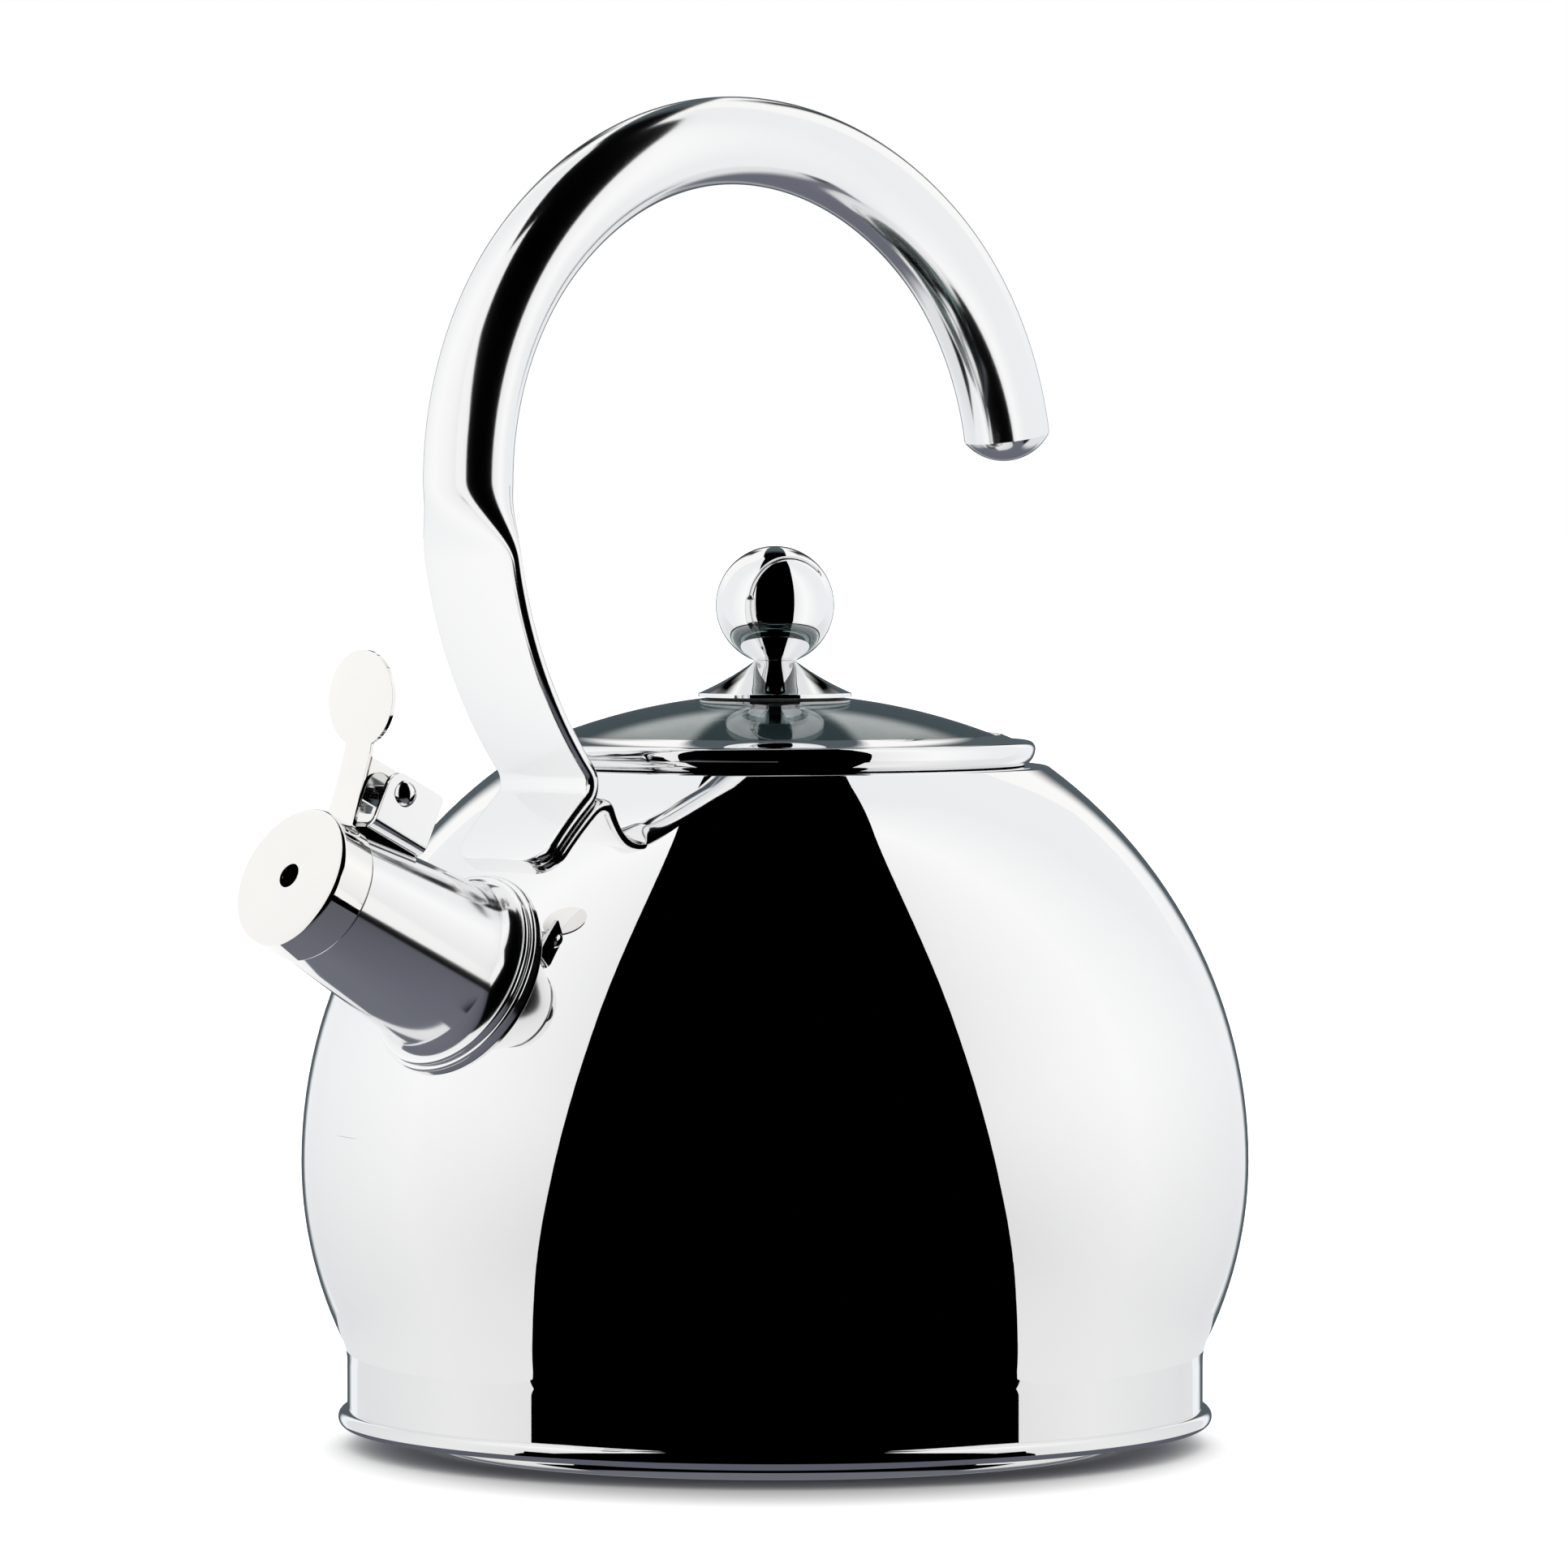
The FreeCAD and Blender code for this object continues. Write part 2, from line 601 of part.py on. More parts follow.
def slab_box(width, height, low):
    """Upright bar of a given width that keeps only the strip of the lever's sheets."""
    return Part.makeBox(4 * CAP_RADIUS, width, height, Vector(-2 * CAP_RADIUS, -width / 2, low))


# Handle


def crown_radii(span, drop, turn):
    """Radii of two equal turns that run from level through a span and a drop: the top one, then the side."""
    half = turn / 2
    top_span = math.sin(half)
    side_span = math.sin(turn) - math.sin(half)
    top_drop = 1 - math.cos(half)
    side_drop = math.cos(half) - math.cos(turn)
    scale = top_span * side_drop - side_span * top_drop
    return (span * side_drop - drop * side_span) / scale, (drop * top_span - span * top_drop) / scale


def oval(place, lean, half_width, half_thick):
    """Section wire of four tangent arcs: round when its halves are equal, a flat strap when they differ.

    The section is square to the handle's path at a place of the XZ plane. Its width lies along Y and its
    thickness along the path's outward normal, which leans by an angle in radians from +X.
    """
    joint = math.pi / 4 * (half_thick / half_width) ** OVAL_POWER
    scale = math.sin(joint) + math.cos(joint) - 1
    edge = (half_thick * math.sin(joint) - half_width * (1 - math.cos(joint))) / scale
    corner = (half_width - edge + edge * math.sin(joint), edge * math.cos(joint))

    def at(across, out):
        spot = polar(place, out, lean)
        return Vector(spot[0], across, spot[1])

    arcs = [
        Part.Arc(at(-corner[0], corner[1]), at(0, half_thick), at(*corner)),
        Part.Arc(at(*corner), at(half_width, 0), at(corner[0], -corner[1])),
        Part.Arc(at(corner[0], -corner[1]), at(0, -half_thick), at(-corner[0], -corner[1])),
        Part.Arc(at(-corner[0], -corner[1]), at(-half_width, 0), at(-corner[0], corner[1])),
    ]
    return Part.Wire([arc.toShape() for arc in arcs])


def swept(wire, centre, angle):
    """Turn a section about the Y axis through a centre. A positive angle, in degrees, turns +Z to +X."""
    return Part.Face(wire).revolve(flat(centre), ALONG_Y, angle)


def hook_arcs():
    """The hook's four arcs as (centre, radius, start angle, end angle), from the strap to the free end."""
    back_turn = math.radians(HOOK_BACK_TURN)
    quarter = math.pi / 2
    front_top, front_side = crown_radii(HOOK_FRONT_SPAN, HOOK_FRONT_DROP, quarter)
    back_top, back_side = crown_radii(HOOK_BACK_SPAN, HOOK_BACK_DROP, back_turn)
    front_centre = (HOOK_CROWN[0], HOOK_TOP - front_top)
    back_centre = (HOOK_CROWN[0], HOOK_TOP - back_top)
    front_joint = quarter + quarter / 2
    back_joint = quarter - back_turn / 2
    front_meet = polar(front_centre, front_top, front_joint)
    back_meet = polar(back_centre, back_top, back_joint)
    return [
        (polar(front_meet, -front_side, front_joint), front_side, 2 * quarter, front_joint),
        (front_centre, front_top, front_joint, quarter),
        (back_centre, back_top, quarter, back_joint),
        (polar(back_meet, -back_side, back_joint), back_side, back_joint, quarter - back_turn),
    ]


def make_hook(inset):
    """Filled hook, set in by a depth from the tube's outside."""
    radius = HANDLE_RADIUS - inset
    pieces = []
    for centre, reach, start, end in hook_arcs():
        wire = oval(polar(centre, reach, start), start, radius, radius)
        pieces.append(swept(wire, centre, math.degrees(start - end)))
    return pieces[0].fuse(pieces[1:])


def bend_centre():
    """Centre of the bend between strap and foot, which touches the strap's arc and the foot's arc."""
    strap_reach = STRAP_ARC + FOOT_BEND
    foot_reach = FOOT_ARC + FOOT_BEND
    apart = math.dist(STRAP_CENTRE, FOOT_CENTRE)
    along = (strap_reach ** 2 - foot_reach ** 2 + apart ** 2) / (2 * apart)
    aside = math.sqrt(strap_reach ** 2 - along ** 2)
    way = ((FOOT_CENTRE[0] - STRAP_CENTRE[0]) / apart, (FOOT_CENTRE[1] - STRAP_CENTRE[1]) / apart)
    foot_of_height = (STRAP_CENTRE[0] + way[0] * along, STRAP_CENTRE[1] + way[1] * along)
    return (foot_of_height[0] + way[1] * aside, foot_of_height[1] - way[0] * aside)


def angle_of(centre, point):
    """Angle in radians from +X of a point about a centre."""
    return math.atan2(point[1] - centre[1], point[0] - centre[0])


def strap_section(centre, radius, angle):
    """Flat section of the strap where its path crosses an angle about a centre."""
    return oval(polar(centre, radius, angle), angle, STRAP_WIDTH / 2, STRAP_THICK / 2)


def flattening():
    """Sections from the round tube to the flat strap, down the start of the strap's arc."""
    sections = []
    for step in range(FLATTEN_STEP_COUNT + 1):
        share = step / FLATTEN_STEP_COUNT
        ease = share * share * (3 - 2 * share)
        angle = math.pi + math.radians(FLATTEN_ANGLE) * share
        half_width = HANDLE_RADIUS + (STRAP_WIDTH / 2 - HANDLE_RADIUS) * ease
        half_thick = HANDLE_RADIUS + (STRAP_THICK / 2 - HANDLE_RADIUS) * ease
        sections.append(oval(polar(STRAP_CENTRE, STRAP_ARC, angle), angle, half_width, half_thick))
    return sections


def make_handle_tube(envelope):
    bend = bend_centre()
    bend_start = angle_of(bend, STRAP_CENTRE)
    bend_end = angle_of(bend, FOOT_CENTRE)
    flat_start = math.pi + math.radians(FLATTEN_ANGLE)
    strap_end = bend_start + math.pi
    foot_start = bend_end + math.pi
    sections = flattening()
    strap_turn = math.degrees(flat_start - strap_end)
    bend_turn = math.degrees(bend_start - bend_end)
    foot_turn = math.degrees(foot_start - FOOT_END)
    strap = swept(sections[-1], STRAP_CENTRE, strap_turn)
    bent = swept(strap_section(STRAP_CENTRE, STRAP_ARC, strap_end), bend, bend_turn)
    foot = swept(strap_section(FOOT_CENTRE, FOOT_ARC, foot_start), FOOT_CENTRE, foot_turn)
    hook = make_hook(0).cut(make_hook(HANDLE_WALL))
    pieces = [Part.makeLoft(sections, True, False), strap, bent, foot.common(foot_plan())]
    return hook.fuse(pieces).cut(envelope).removeSplitter()


def foot_plan():
    """Block over the foot whose front corners are round, square to the body where the foot ends."""
    half = STRAP_WIDTH / 2
    plan = outline(
        (-STRAP_WIDTH, -half),
        (-FOOT_CORNER, -half),
        ((-FOOT_CORNER, FOOT_CORNER - half), (0, FOOT_CORNER - half)),
        (0, half - FOOT_CORNER),
        ((-FOOT_CORNER, half - FOOT_CORNER), (-FOOT_CORNER, half)),
        (-STRAP_WIDTH, half),
    )
    block = slab(plan, -STRAP_WIDTH, STRAP_WIDTH)
    block.rotate(ORIGIN, ALONG_X, QUARTER_TURN)
    block.rotate(ORIGIN, ALONG_Y, math.degrees(-FOOT_END - math.pi / 2))
    return block.translated(flat(polar(FOOT_CENTRE, FOOT_ARC, FOOT_END)))


def make_handle_tip():
    """Plug with a domed head that closes the hook's free end."""
    centre, reach, _, end = hook_arcs()[-1]
    bore = HANDLE_RADIUS - HANDLE_WALL
    dome = (HANDLE_RADIUS ** 2 + TIP_RISE ** 2) / (2 * TIP_RISE)
    plug = spun(outline(
        (-TIP_PLUG, 0),
        (-TIP_PLUG, bore),
        (0, bore),
        (0, HANDLE_RADIUS),
        ((TIP_RISE - dome, 0), (TIP_RISE, 0)),
    ))
    plug.Placement = Placement(flat(polar(centre, reach, end)), Rotation(ALONG_Y, HOOK_BACK_TURN))
    return plug.cut(make_hook(0).cut(make_hook(HANDLE_WALL)))


# Lid and knob


def glass_height(radius, depth):
    """Height at a radius of the dome's surface, or of one a depth below it or, negative, above it."""
    return DOME_HEIGHT + math.sqrt((GLASS_ARC - depth) ** 2 - radius ** 2)


def make_lid_glass():
    dome_centre = (0, DOME_HEIGHT)
    hole = SCREW_RADIUS + GLASS_HOLE_CLEARANCE
    return turned(outline(
        (hole, glass_height(hole, 0)),
        (dome_centre, (GLASS_RADIUS, glass_height(GLASS_RADIUS, 0))),
        (GLASS_RADIUS, glass_height(GLASS_RADIUS, GLASS_THICK)),
        (dome_centre, (hole, glass_height(hole, GLASS_THICK))),
    ))


def make_lid_rim(glass):
    """Rolled steel edge: a lip on the glass, a rounded outside and a plug that drops into the mouth."""
    lip = glass_height(RIM_LIP_RADIUS, 0)
    shoulder = glass_height(GLASS_SIDE, 0)
    round_centre = (RIM_RADIUS - RIM_ROUND, LEDGE_HEIGHT + RIM_WIDEST)
    side_arc = (RIM_FLARE ** 2 + RIM_WIDEST ** 2) / (2 * RIM_FLARE)
    plug_foot = LEDGE_HEIGHT - PLUG_DEPTH
    return turned(outline(
        (RIM_LIP_RADIUS, lip + RIM_SHEET),
        (GLASS_SIDE, shoulder + RIM_SHEET),
        (round_centre[0], round_centre[1] + RIM_ROUND),
        (round_centre, (RIM_RADIUS, round_centre[1])),
        ((RIM_RADIUS - side_arc, round_centre[1]), (RIM_FOOT_RADIUS, LEDGE_HEIGHT)),
        (PLUG_RADIUS, LEDGE_HEIGHT),
        (PLUG_RADIUS, plug_foot),
        (PLUG_BORE, plug_foot),
        (PLUG_BORE, LID_SEAT),
        (GLASS_SIDE, LID_SEAT),
        (GLASS_SIDE, shoulder),
        (RIM_LIP_RADIUS, lip - RIM_SHEET),
    )).cut(glass)


def make_lid_gasket(glass, rim):
    """Silicone bed between the glass's edge and the rim."""
    top = glass_height(GLASS_SIDE, 0)
    bed = turned(outline((PLUG_BORE, LID_SEAT), (GLASS_SIDE, LID_SEAT), (GLASS_SIDE, top), (PLUG_BORE, top)))
    foot = Vector(0, 0, glass_height(GLASS_RADIUS, GLASS_THICK))
    inside = Part.makeCylinder(GLASS_RADIUS, GLASS_TOP, foot)
    return bed.cut(glass).cut(rim).cut(inside)


def make_knob_ball():
    """Hollow ball, flat where it meets the skirt, with a threaded boss inside."""
    centre = Vector(0, 0, KNOB_CENTRE)
    ball = Part.makeSphere(KNOB_RADIUS, centre)
    hollow = Part.makeSphere(KNOB_RADIUS - KNOB_WALL, centre)
    boss_radius = SCREW_RADIUS + KNOB_BOSS_WALL
    boss = Part.makeCylinder(boss_radius, SCREW_GRIP, Vector(0, 0, KNOB_SEAT))
    below = Part.makeCylinder(KNOB_RADIUS, KNOB_RADIUS, Vector(0, 0, KNOB_SEAT - KNOB_RADIUS))
    thread = Part.makeCylinder(SCREW_RADIUS, SCREW_GRIP, Vector(0, 0, KNOB_SEAT))
    return ball.cut(hollow).fuse(boss.common(ball)).cut(below).cut(thread)


def make_knob_skirt():
    """Flared ferrule between ball and glass, with a thin flange and a closed top that the screw holds."""
    foot = glass_height(SKIRT_RADIUS, -SKIRT_GAP)
    neck = (KNOB_NECK_RADIUS, KNOB_SEAT)
    flange = (SKIRT_RADIUS, foot + SKIRT_EDGE)
    return turned(outline(
        (SCREW_RADIUS, KNOB_SEAT),
        neck,
        (arc_centre(neck, flange, SKIRT_CURVE), flange),
        (SKIRT_RADIUS, foot),
        ((0, DOME_HEIGHT), (SKIRT_SEAT, glass_height(SKIRT_SEAT, -SKIRT_GAP))),
        (SCREW_RADIUS, KNOB_SEAT - 2 * SKIRT_SHEET),
    ))


def make_knob_gasket():
    """Thin silicone ring that beds the skirt's flange on the dome."""
    dome_centre = (0, DOME_HEIGHT)
    outer = SKIRT_RADIUS - KNOB_GASKET_INSET
    return turned(outline(
        (SKIRT_SEAT, glass_height(SKIRT_SEAT, 0)),
        (dome_centre, (outer, glass_height(outer, 0))),
        (outer, glass_height(outer, -SKIRT_GAP)),
        (dome_centre, (SKIRT_SEAT, glass_height(SKIRT_SEAT, -SKIRT_GAP))),
    ))


def washer_foot():
    """Height of the flat face under the washer, where the screw's shank leaves its head."""
    return glass_height(WASHER_RADIUS, GLASS_THICK) - WASHER_THICK


def make_knob_washer():
    """Washer under the dome, curved to the glass above and flat for the screw's head below."""
    low = washer_foot()
    return turned(outline(
        (SCREW_RADIUS, low),
        (WASHER_RADIUS, low),
        (WASHER_RADIUS, glass_height(WASHER_RADIUS, GLASS_THICK)),
        ((0, DOME_HEIGHT), (SCREW_RADIUS, glass_height(SCREW_RADIUS, GLASS_THICK))),
    ))


def make_knob_screw():
    low = washer_foot()
    shank = Part.makeCylinder(SCREW_RADIUS, KNOB_SEAT + SCREW_GRIP - low, Vector(0, 0, low))
    head = Part.makeCylinder(SCREW_HEAD_RADIUS, SCREW_HEAD_HEIGHT, Vector(0, 0, low - SCREW_HEAD_HEIGHT))
    return shank.fuse(head).removeSplitter()


def make_nodes():
    envelope = body_solid(0)
    tube = tube_solid(0, NOSE_START)
    bore = tube_solid(SPOUT_SHEET, 0)
    glass = make_lid_glass()
    rim = make_lid_rim(glass)
    return {
        "body_shell": make_body_shell(envelope, on_spout(bore)),
        "base_pan": make_base_pan(),
        "base_core": capsule_solid(CAPSULE_SHEET),
        "base_cap": capsule_solid(0).cut(capsule_solid(CAPSULE_SHEET)),
        "spout_tube": on_spout(tube.cut(bore)).cut(envelope),
        "spout_collar": make_spout_collar(envelope),
        "hinge_bracket": on_spout(make_hinge_bracket(tube)),
        "hinge_pin": on_spout(make_hinge_pin()),
        "hinge_spring": on_spout(make_hinge_spring()),
        "whistle_cap": on_spout(make_whistle_cap()),
        "whistle_plate": on_spout(make_whistle_plate()),
        "thumb_lever": on_spout(make_thumb_lever()),
        "handle_tube": make_handle_tube(envelope),
        "handle_tip": make_handle_tip(),
        "lid_glass": glass,
        "lid_rim": rim,
        "lid_gasket": make_lid_gasket(glass, rim),
        "knob_ball": make_knob_ball(),
        "knob_skirt": make_knob_skirt(),
        "knob_gasket": make_knob_gasket(),
        "knob_washer": make_knob_washer(),
        "knob_screw": make_knob_screw(),
    }


os.makedirs("parts", exist_ok=True)
for node, shape in make_nodes().items():
    print("%s: %d solid, %.0f mm3, valid %s" % (node, len(shape.Solids), shape.Volume, shape.isValid()))
    shape.exportStep("parts/%s.step" % node)
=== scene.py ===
"""Looks of a stovetop whistling kettle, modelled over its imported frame.

Metres, +Z up, with the spout towards -X. Turned pieces are drawn as an outline in the XZ plane and
spun. Pieces of the spout are drawn in the spout's own frame, with X running inward along its axis, then
set in place.
"""

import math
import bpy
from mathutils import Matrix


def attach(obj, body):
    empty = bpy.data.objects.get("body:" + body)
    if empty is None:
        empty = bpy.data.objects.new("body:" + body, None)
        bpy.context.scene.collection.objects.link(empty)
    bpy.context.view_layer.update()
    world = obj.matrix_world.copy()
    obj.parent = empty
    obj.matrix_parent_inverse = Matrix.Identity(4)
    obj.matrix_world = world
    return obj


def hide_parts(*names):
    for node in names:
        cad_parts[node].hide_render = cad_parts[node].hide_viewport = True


bl_info = {
    "name": "Stovetop Whistling Kettle",
    "version": (1, 0, 0),
    "blender": (4, 5, 0),
    "location": "3D View > Sidebar > Kettle",
    "description": "Models a polished steel whistling kettle with a glass lid and a hook handle",
    "category": "Add Mesh",
}

from types import SimpleNamespace

import bmesh
import bpy
from bpy.props import FloatProperty, FloatVectorProperty, PointerProperty
from bpy.types import Operator, Panel, PropertyGroup
from mathutils import Vector

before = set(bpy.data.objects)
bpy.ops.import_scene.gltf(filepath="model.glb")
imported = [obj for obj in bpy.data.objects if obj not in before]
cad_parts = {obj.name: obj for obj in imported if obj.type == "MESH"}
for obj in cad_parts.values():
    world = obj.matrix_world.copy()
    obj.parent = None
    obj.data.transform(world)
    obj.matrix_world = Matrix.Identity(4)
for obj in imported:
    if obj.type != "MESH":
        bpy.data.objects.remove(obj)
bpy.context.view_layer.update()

ALONG_X = (1.0, 0.0, 0.0)
ALONG_Y = (0.0, 1.0, 0.0)
ALONG_Z = (0.0, 0.0, 1.0)
CENTRE = (0.0, 0.0, 0.0)
FLAT_CENTRE = (0.0, 0.0)
SEED_SIZE = 0.01
MERGE_DISTANCE = 1e-6
# A face looks along an axis where its normal has more than this of it
NORMAL_SHARE = 0.5

# How finely turned and swept pieces are divided
TURN_STEPS = 224
SMALL_TURN_STEPS = 160
RING_STEPS = 96
HEAD_STEPS = 72
RIVET_STEPS = 64
BROAD_ARC = math.radians(1)
HOOK_ARC = math.radians(1.5)
CLOSE_ARC = math.radians(2)
FINE_ARC = math.radians(3)
SMALL_ARC = math.radians(6)
BEAD_ARC = math.radians(8)
COIL_ARC = math.radians(12)
FEWEST_ARC_STEPS = 6
FLATTEN_RINGS = 20
CORNER_RINGS = 10
BEND_SEGMENTS = 8
FRONT_SEGMENTS = 12
FOLD_SEGMENTS = 6
WIRE_ROUNDING = 4
SHARP_ANGLE = math.radians(30)
HANDLE_SHARP_ANGLE = math.radians(40)
BEVEL_ANGLE = math.radians(50)

# Details that stay the same at any size of kettle, as lengths or shares
HOLE_AHEAD = 0.01
HOLE_BEHIND = 0.02
TUBE_SINK = 0.0012
COLLAR_SINK = 0.0022
COLLAR_BACK = 0.0006
BRACKET_EDGE = 0.00015
LEVER_EDGE = 0.00018
LEVER_FOLD = 0.0012
LEVER_WELD = 0.8
COIL_CLEARANCE = 0.00005
FOOT_WELD = 0.00005
OVAL_POWER = 1.5
PLUG_SHARE = 0.85
SCREW_ROOM = 0.001


# Settings that a user would change


def length(name, default, description):
    return FloatProperty(
        name=name, description=description, default=default, min=0.0, precision=5, unit="LENGTH")


def angle(name, degrees, description):
    return FloatProperty(
        name=name, description=description, default=math.radians(degrees), subtype="ANGLE")


def share(name, default, description):
    return FloatProperty(
        name=name, description=description, default=default, min=0.0, max=1.0, subtype="FACTOR")


def colour(name, default, description):
    return FloatVectorProperty(
        name=name, description=description, default=default, size=3, min=0.0, max=1.0, subtype="COLOR")


class KettleBody(PropertyGroup):
    radius: length("Radius", 0.1, "Largest radius of the bulging body")
    bulge_height: length("Bulge height", 0.06, "Height of the body's widest place")
    upper_arc: length("Upper arc", 0.103, "Radius of the shoulder's arc")
    lower_arc: length("Lower arc", 0.086, "Radius of the arc below the widest place")
    wall_inset: length("Wall inset", 0.0096, "How far the foot wall stands inside the widest place")
    waist_fillet: length("Waist fillet", 0.012, "Hollow radius between the lower arc and the foot wall")
    sheet: length("Sheet", 0.0008, "Thickness of the shell")
    ledge_rise: length("Ledge rise", 0.0834, "Height of the flat ledge over the widest place")
    ledge_fillet: length("Ledge fillet", 0.0024, "Radius between shoulder and ledge")
    ledge_width: length("Ledge width", 0.0073, "Width of the flat ledge and its inner bend")
    neck_bend: length("Neck bend", 0.0016, "Radius where the ledge turns down into the neck")
    neck_depth: length("Neck depth", 0.006, "How far the neck reaches down")


class KettleBase(PropertyGroup):
    height: length("Height", 0.0042, "Height of the pan's underside")
    pan_sheet: length("Pan sheet", 0.0008, "Thickness of the pan")
    bead: length("Bead", 0.0019, "Radius of the rolled edge")
    capsule_inset: length("Capsule inset", 0.0154, "How far the capsule stands inside the foot wall")
    capsule_corner: length("Capsule corner", 0.003, "Radius of the capsule's lower edge")
    capsule_sheet: length("Capsule sheet", 0.0006, "Thickness of the capsule's steel")


class KettleSpout(PropertyGroup):
    slope: angle("Slope", 25.5, "Rise of the spout over the horizon")
    length: length("Length", 0.0492, "From the body's widest radius to the whistle's face")
    tip_step: length("Tip step", 0.0004, "How far the tube's tip is smaller than the whistle cap")
    taper: share("Taper", 0.095, "Growth of the radius along the tube")
    sheet: length("Sheet", 0.0008, "Thickness of the tube")
    nose_clearance: length("Nose clearance", 0.0015, "Room round the nose inside the cap")
    edge: length("Edge", 0.0003, "Rounding of the tube's front edge")
    collar_width: length("Collar width", 0.0034, "How far the collar reaches out of the tube")
    collar_rise: length("Collar rise", 0.0054, "How far the collar runs up the tube")
    collar_bead: length("Collar bead", 0.0008, "Radius of the collar's rolled edges")
    collar_flare: length("Collar flare", 0.005, "Radius of the collar's hollow")


class KettleWhistle(PropertyGroup):
    radius: length("Radius", 0.015, "Outside radius of the cap")
    band: length("Band", 0.0087, "Length of the cap")
    sheet: length("Sheet", 0.0008, "Thickness of the cap")
    corner: length("Corner", 0.0012, "Rounding of the face's edge")
    hole: length("Hole", 0.00255, "Radius of the hole in the face")
    gap: length("Gap", 0.0003, "Room behind the band and the plate")
    plate_back: length("Plate back", 0.0039, "How far the plate's back lies behind the face")
    lever_sheet: length("Lever sheet", 0.001, "Thickness of the thumb lever")
    lever_width: length("Lever width", 0.008, "Width of the lever's strip")
    lever_inset: length("Lever inset", 0.0004, "How far the strip stands in from the band's edge")
    lever_lean: angle("Lever lean", 7.5, "Outward lean of the strip")
    neck_rise: length("Neck rise", 0.0057, "Height of the fold over the pin")
    head_lean: angle("Head lean", 21.5, "Outward lean of the round head")
    head_radius: length("Head radius", 0.0099, "Radius of the round head")
    head_rise: length("Head rise", 0.0103, "From the fold to the middle of the head")
    ear_radius: length("Ear radius", 0.0044, "Radius of the ears round the pin")


class KettleHinge(PropertyGroup):
    rise: length("Rise", 0.0099, "Height of the pin over the cap")
    inset: length("Inset", 0.005, "From the bracket's front to the pin")
    gap: length("Gap", 0.0013, "From the band's edge to the bracket")
    length: length("Length", 0.015, "Length of the bracket")
    width: length("Width", 0.0158, "Width over both cheeks")
    crest: length("Crest", 0.0036, "Height of the cheeks over the pin")
    lift: length("Lift", 0.0005, "Height of the web over the tube's front")
    sheet: length("Sheet", 0.0012, "Thickness of the bracket")
    bend: length("Bend", 0.0026, "Outside radius of the bracket's lower bends")
    corner: length("Corner", 0.0012, "Rounding of the cheeks' back corners")
    pin_radius: length("Pin radius", 0.0015, "Radius of the riveted pin")
    head_radius: length("Head radius", 0.00275, "Radius of the pin's heads")
    head_rise: length("Head rise", 0.0019, "Height of the pin's domed heads")
    wire: length("Wire", 0.0007, "Thickness of the spring's wire")
    coil_play: length("Coil play", 0.0006, "Room between the pin and the spring's wire")
    coil_gap: length("Coil gap", 0.0005, "Room between the spring's turns")
    coil_start: angle("Coil start", 30.0, "Where the spring's turns begin behind the pin")
    coil_end: angle("Coil end", 1170.0, "Where the spring's turns end over the pin")


class KettleHandle(PropertyGroup):
    radius: length("Radius", 0.0092, "Radius of the round tube")
    rise: length("Rise", 0.1313, "Height of the hook's crown over the ledge")
    inset: length("Inset", 0.0136, "How far the hook's front stands inside the body's widest place")
    front_span: length("Front span", 0.0758, "From the hook's front to its crown")
    front_drop: length("Front drop", 0.0715, "From the crown down to the hook's front")
    back_span: length("Back span", 0.0797, "From the crown to the free end")
    back_drop: length("Back drop", 0.062, "From the crown down to the free end")
    back_turn: angle("Back turn", 80.0, "Turn of the tube from the crown to the free end")
    strap_arc: length("Strap arc", 0.093, "Radius of the flat strap's curve")
    strap_width: length("Strap width", 0.0286, "Width of the strap")
    strap_thick: length("Strap thickness", 0.0037, "Thickness of the strap")
    flatten_turn: angle("Flattening", 10.0, "Turn over which the tube is pressed flat")
    foot_bend: length("Foot bend", 0.005, "Radius of the bend above the foot")
    foot_sink: length("Foot sink", 0.0013, "How deep the foot's middle would lie in the body")
    foot_gap: length("Foot gap", 0.00315, "From the foot to the spout's collar")
    foot_corner: length("Foot corner", 0.0055, "Rounding of the foot's front corners")
    tip_rise: length("Tip rise", 0.005, "Height of the plug's dome")


class KettleLid(PropertyGroup):
    glass_arc: length("Glass arc", 0.128, "Radius of the dome")
    glass_thick: length("Glass thickness", 0.003, "Thickness of the glass")
    glass_overlap: length("Glass overlap", 0.0007, "How far the glass reaches past the mouth")
    gasket_bed: length("Gasket bed", 0.0008, "Thickness of the silicone under the glass")
    gasket_side: length("Gasket side", 0.0011, "Thickness of the silicone round the glass")
    sheet: length("Sheet", 0.0008, "Thickness of the steel rim")
    lip: length("Lip", 0.0022, "How far the rim reaches over the glass")
    foot: length("Foot", 0.0033, "How far the rim stands out on the ledge")
    flare: length("Flare", 0.0023, "How far the rim is wider than its foot")
    widest: length("Widest", 0.0036, "Height of the rim's widest place over the ledge")
    rounding: length("Rounding", 0.0016, "Rounding of the rim's edge")
    plug_clearance: length("Plug clearance", 0.0006, "Room round the plug in the mouth")
    plug_depth: length("Plug depth", 0.0048, "How far the plug drops into the mouth")


class KettleKnob(PropertyGroup):
    radius: length("Radius", 0.0125, "Radius of the ball")
    rise: length("Rise", 0.0187, "Height of the ball's middle over the glass")
    neck: length("Neck", 0.0043, "Radius where the ball meets the skirt")
    skirt_radius: length("Skirt radius", 0.0162, "Radius of the skirt's flange")
    skirt_edge: length("Skirt edge", 0.0009, "Thickness of the flange")
    skirt_gap: length("Skirt gap", 0.0004, "Thickness of the seal under the flange")
    skirt_curve: length("Skirt curve", 0.06, "Radius of the skirt's hollow side")
    skirt_seat: length("Skirt seat", 0.0074, "Inside radius of the flange's seat")
    skirt_sheet: length("Skirt sheet", 0.0016, "Thickness under the ball")
    screw: length("Screw", 0.002, "Radius of the screw's shank")


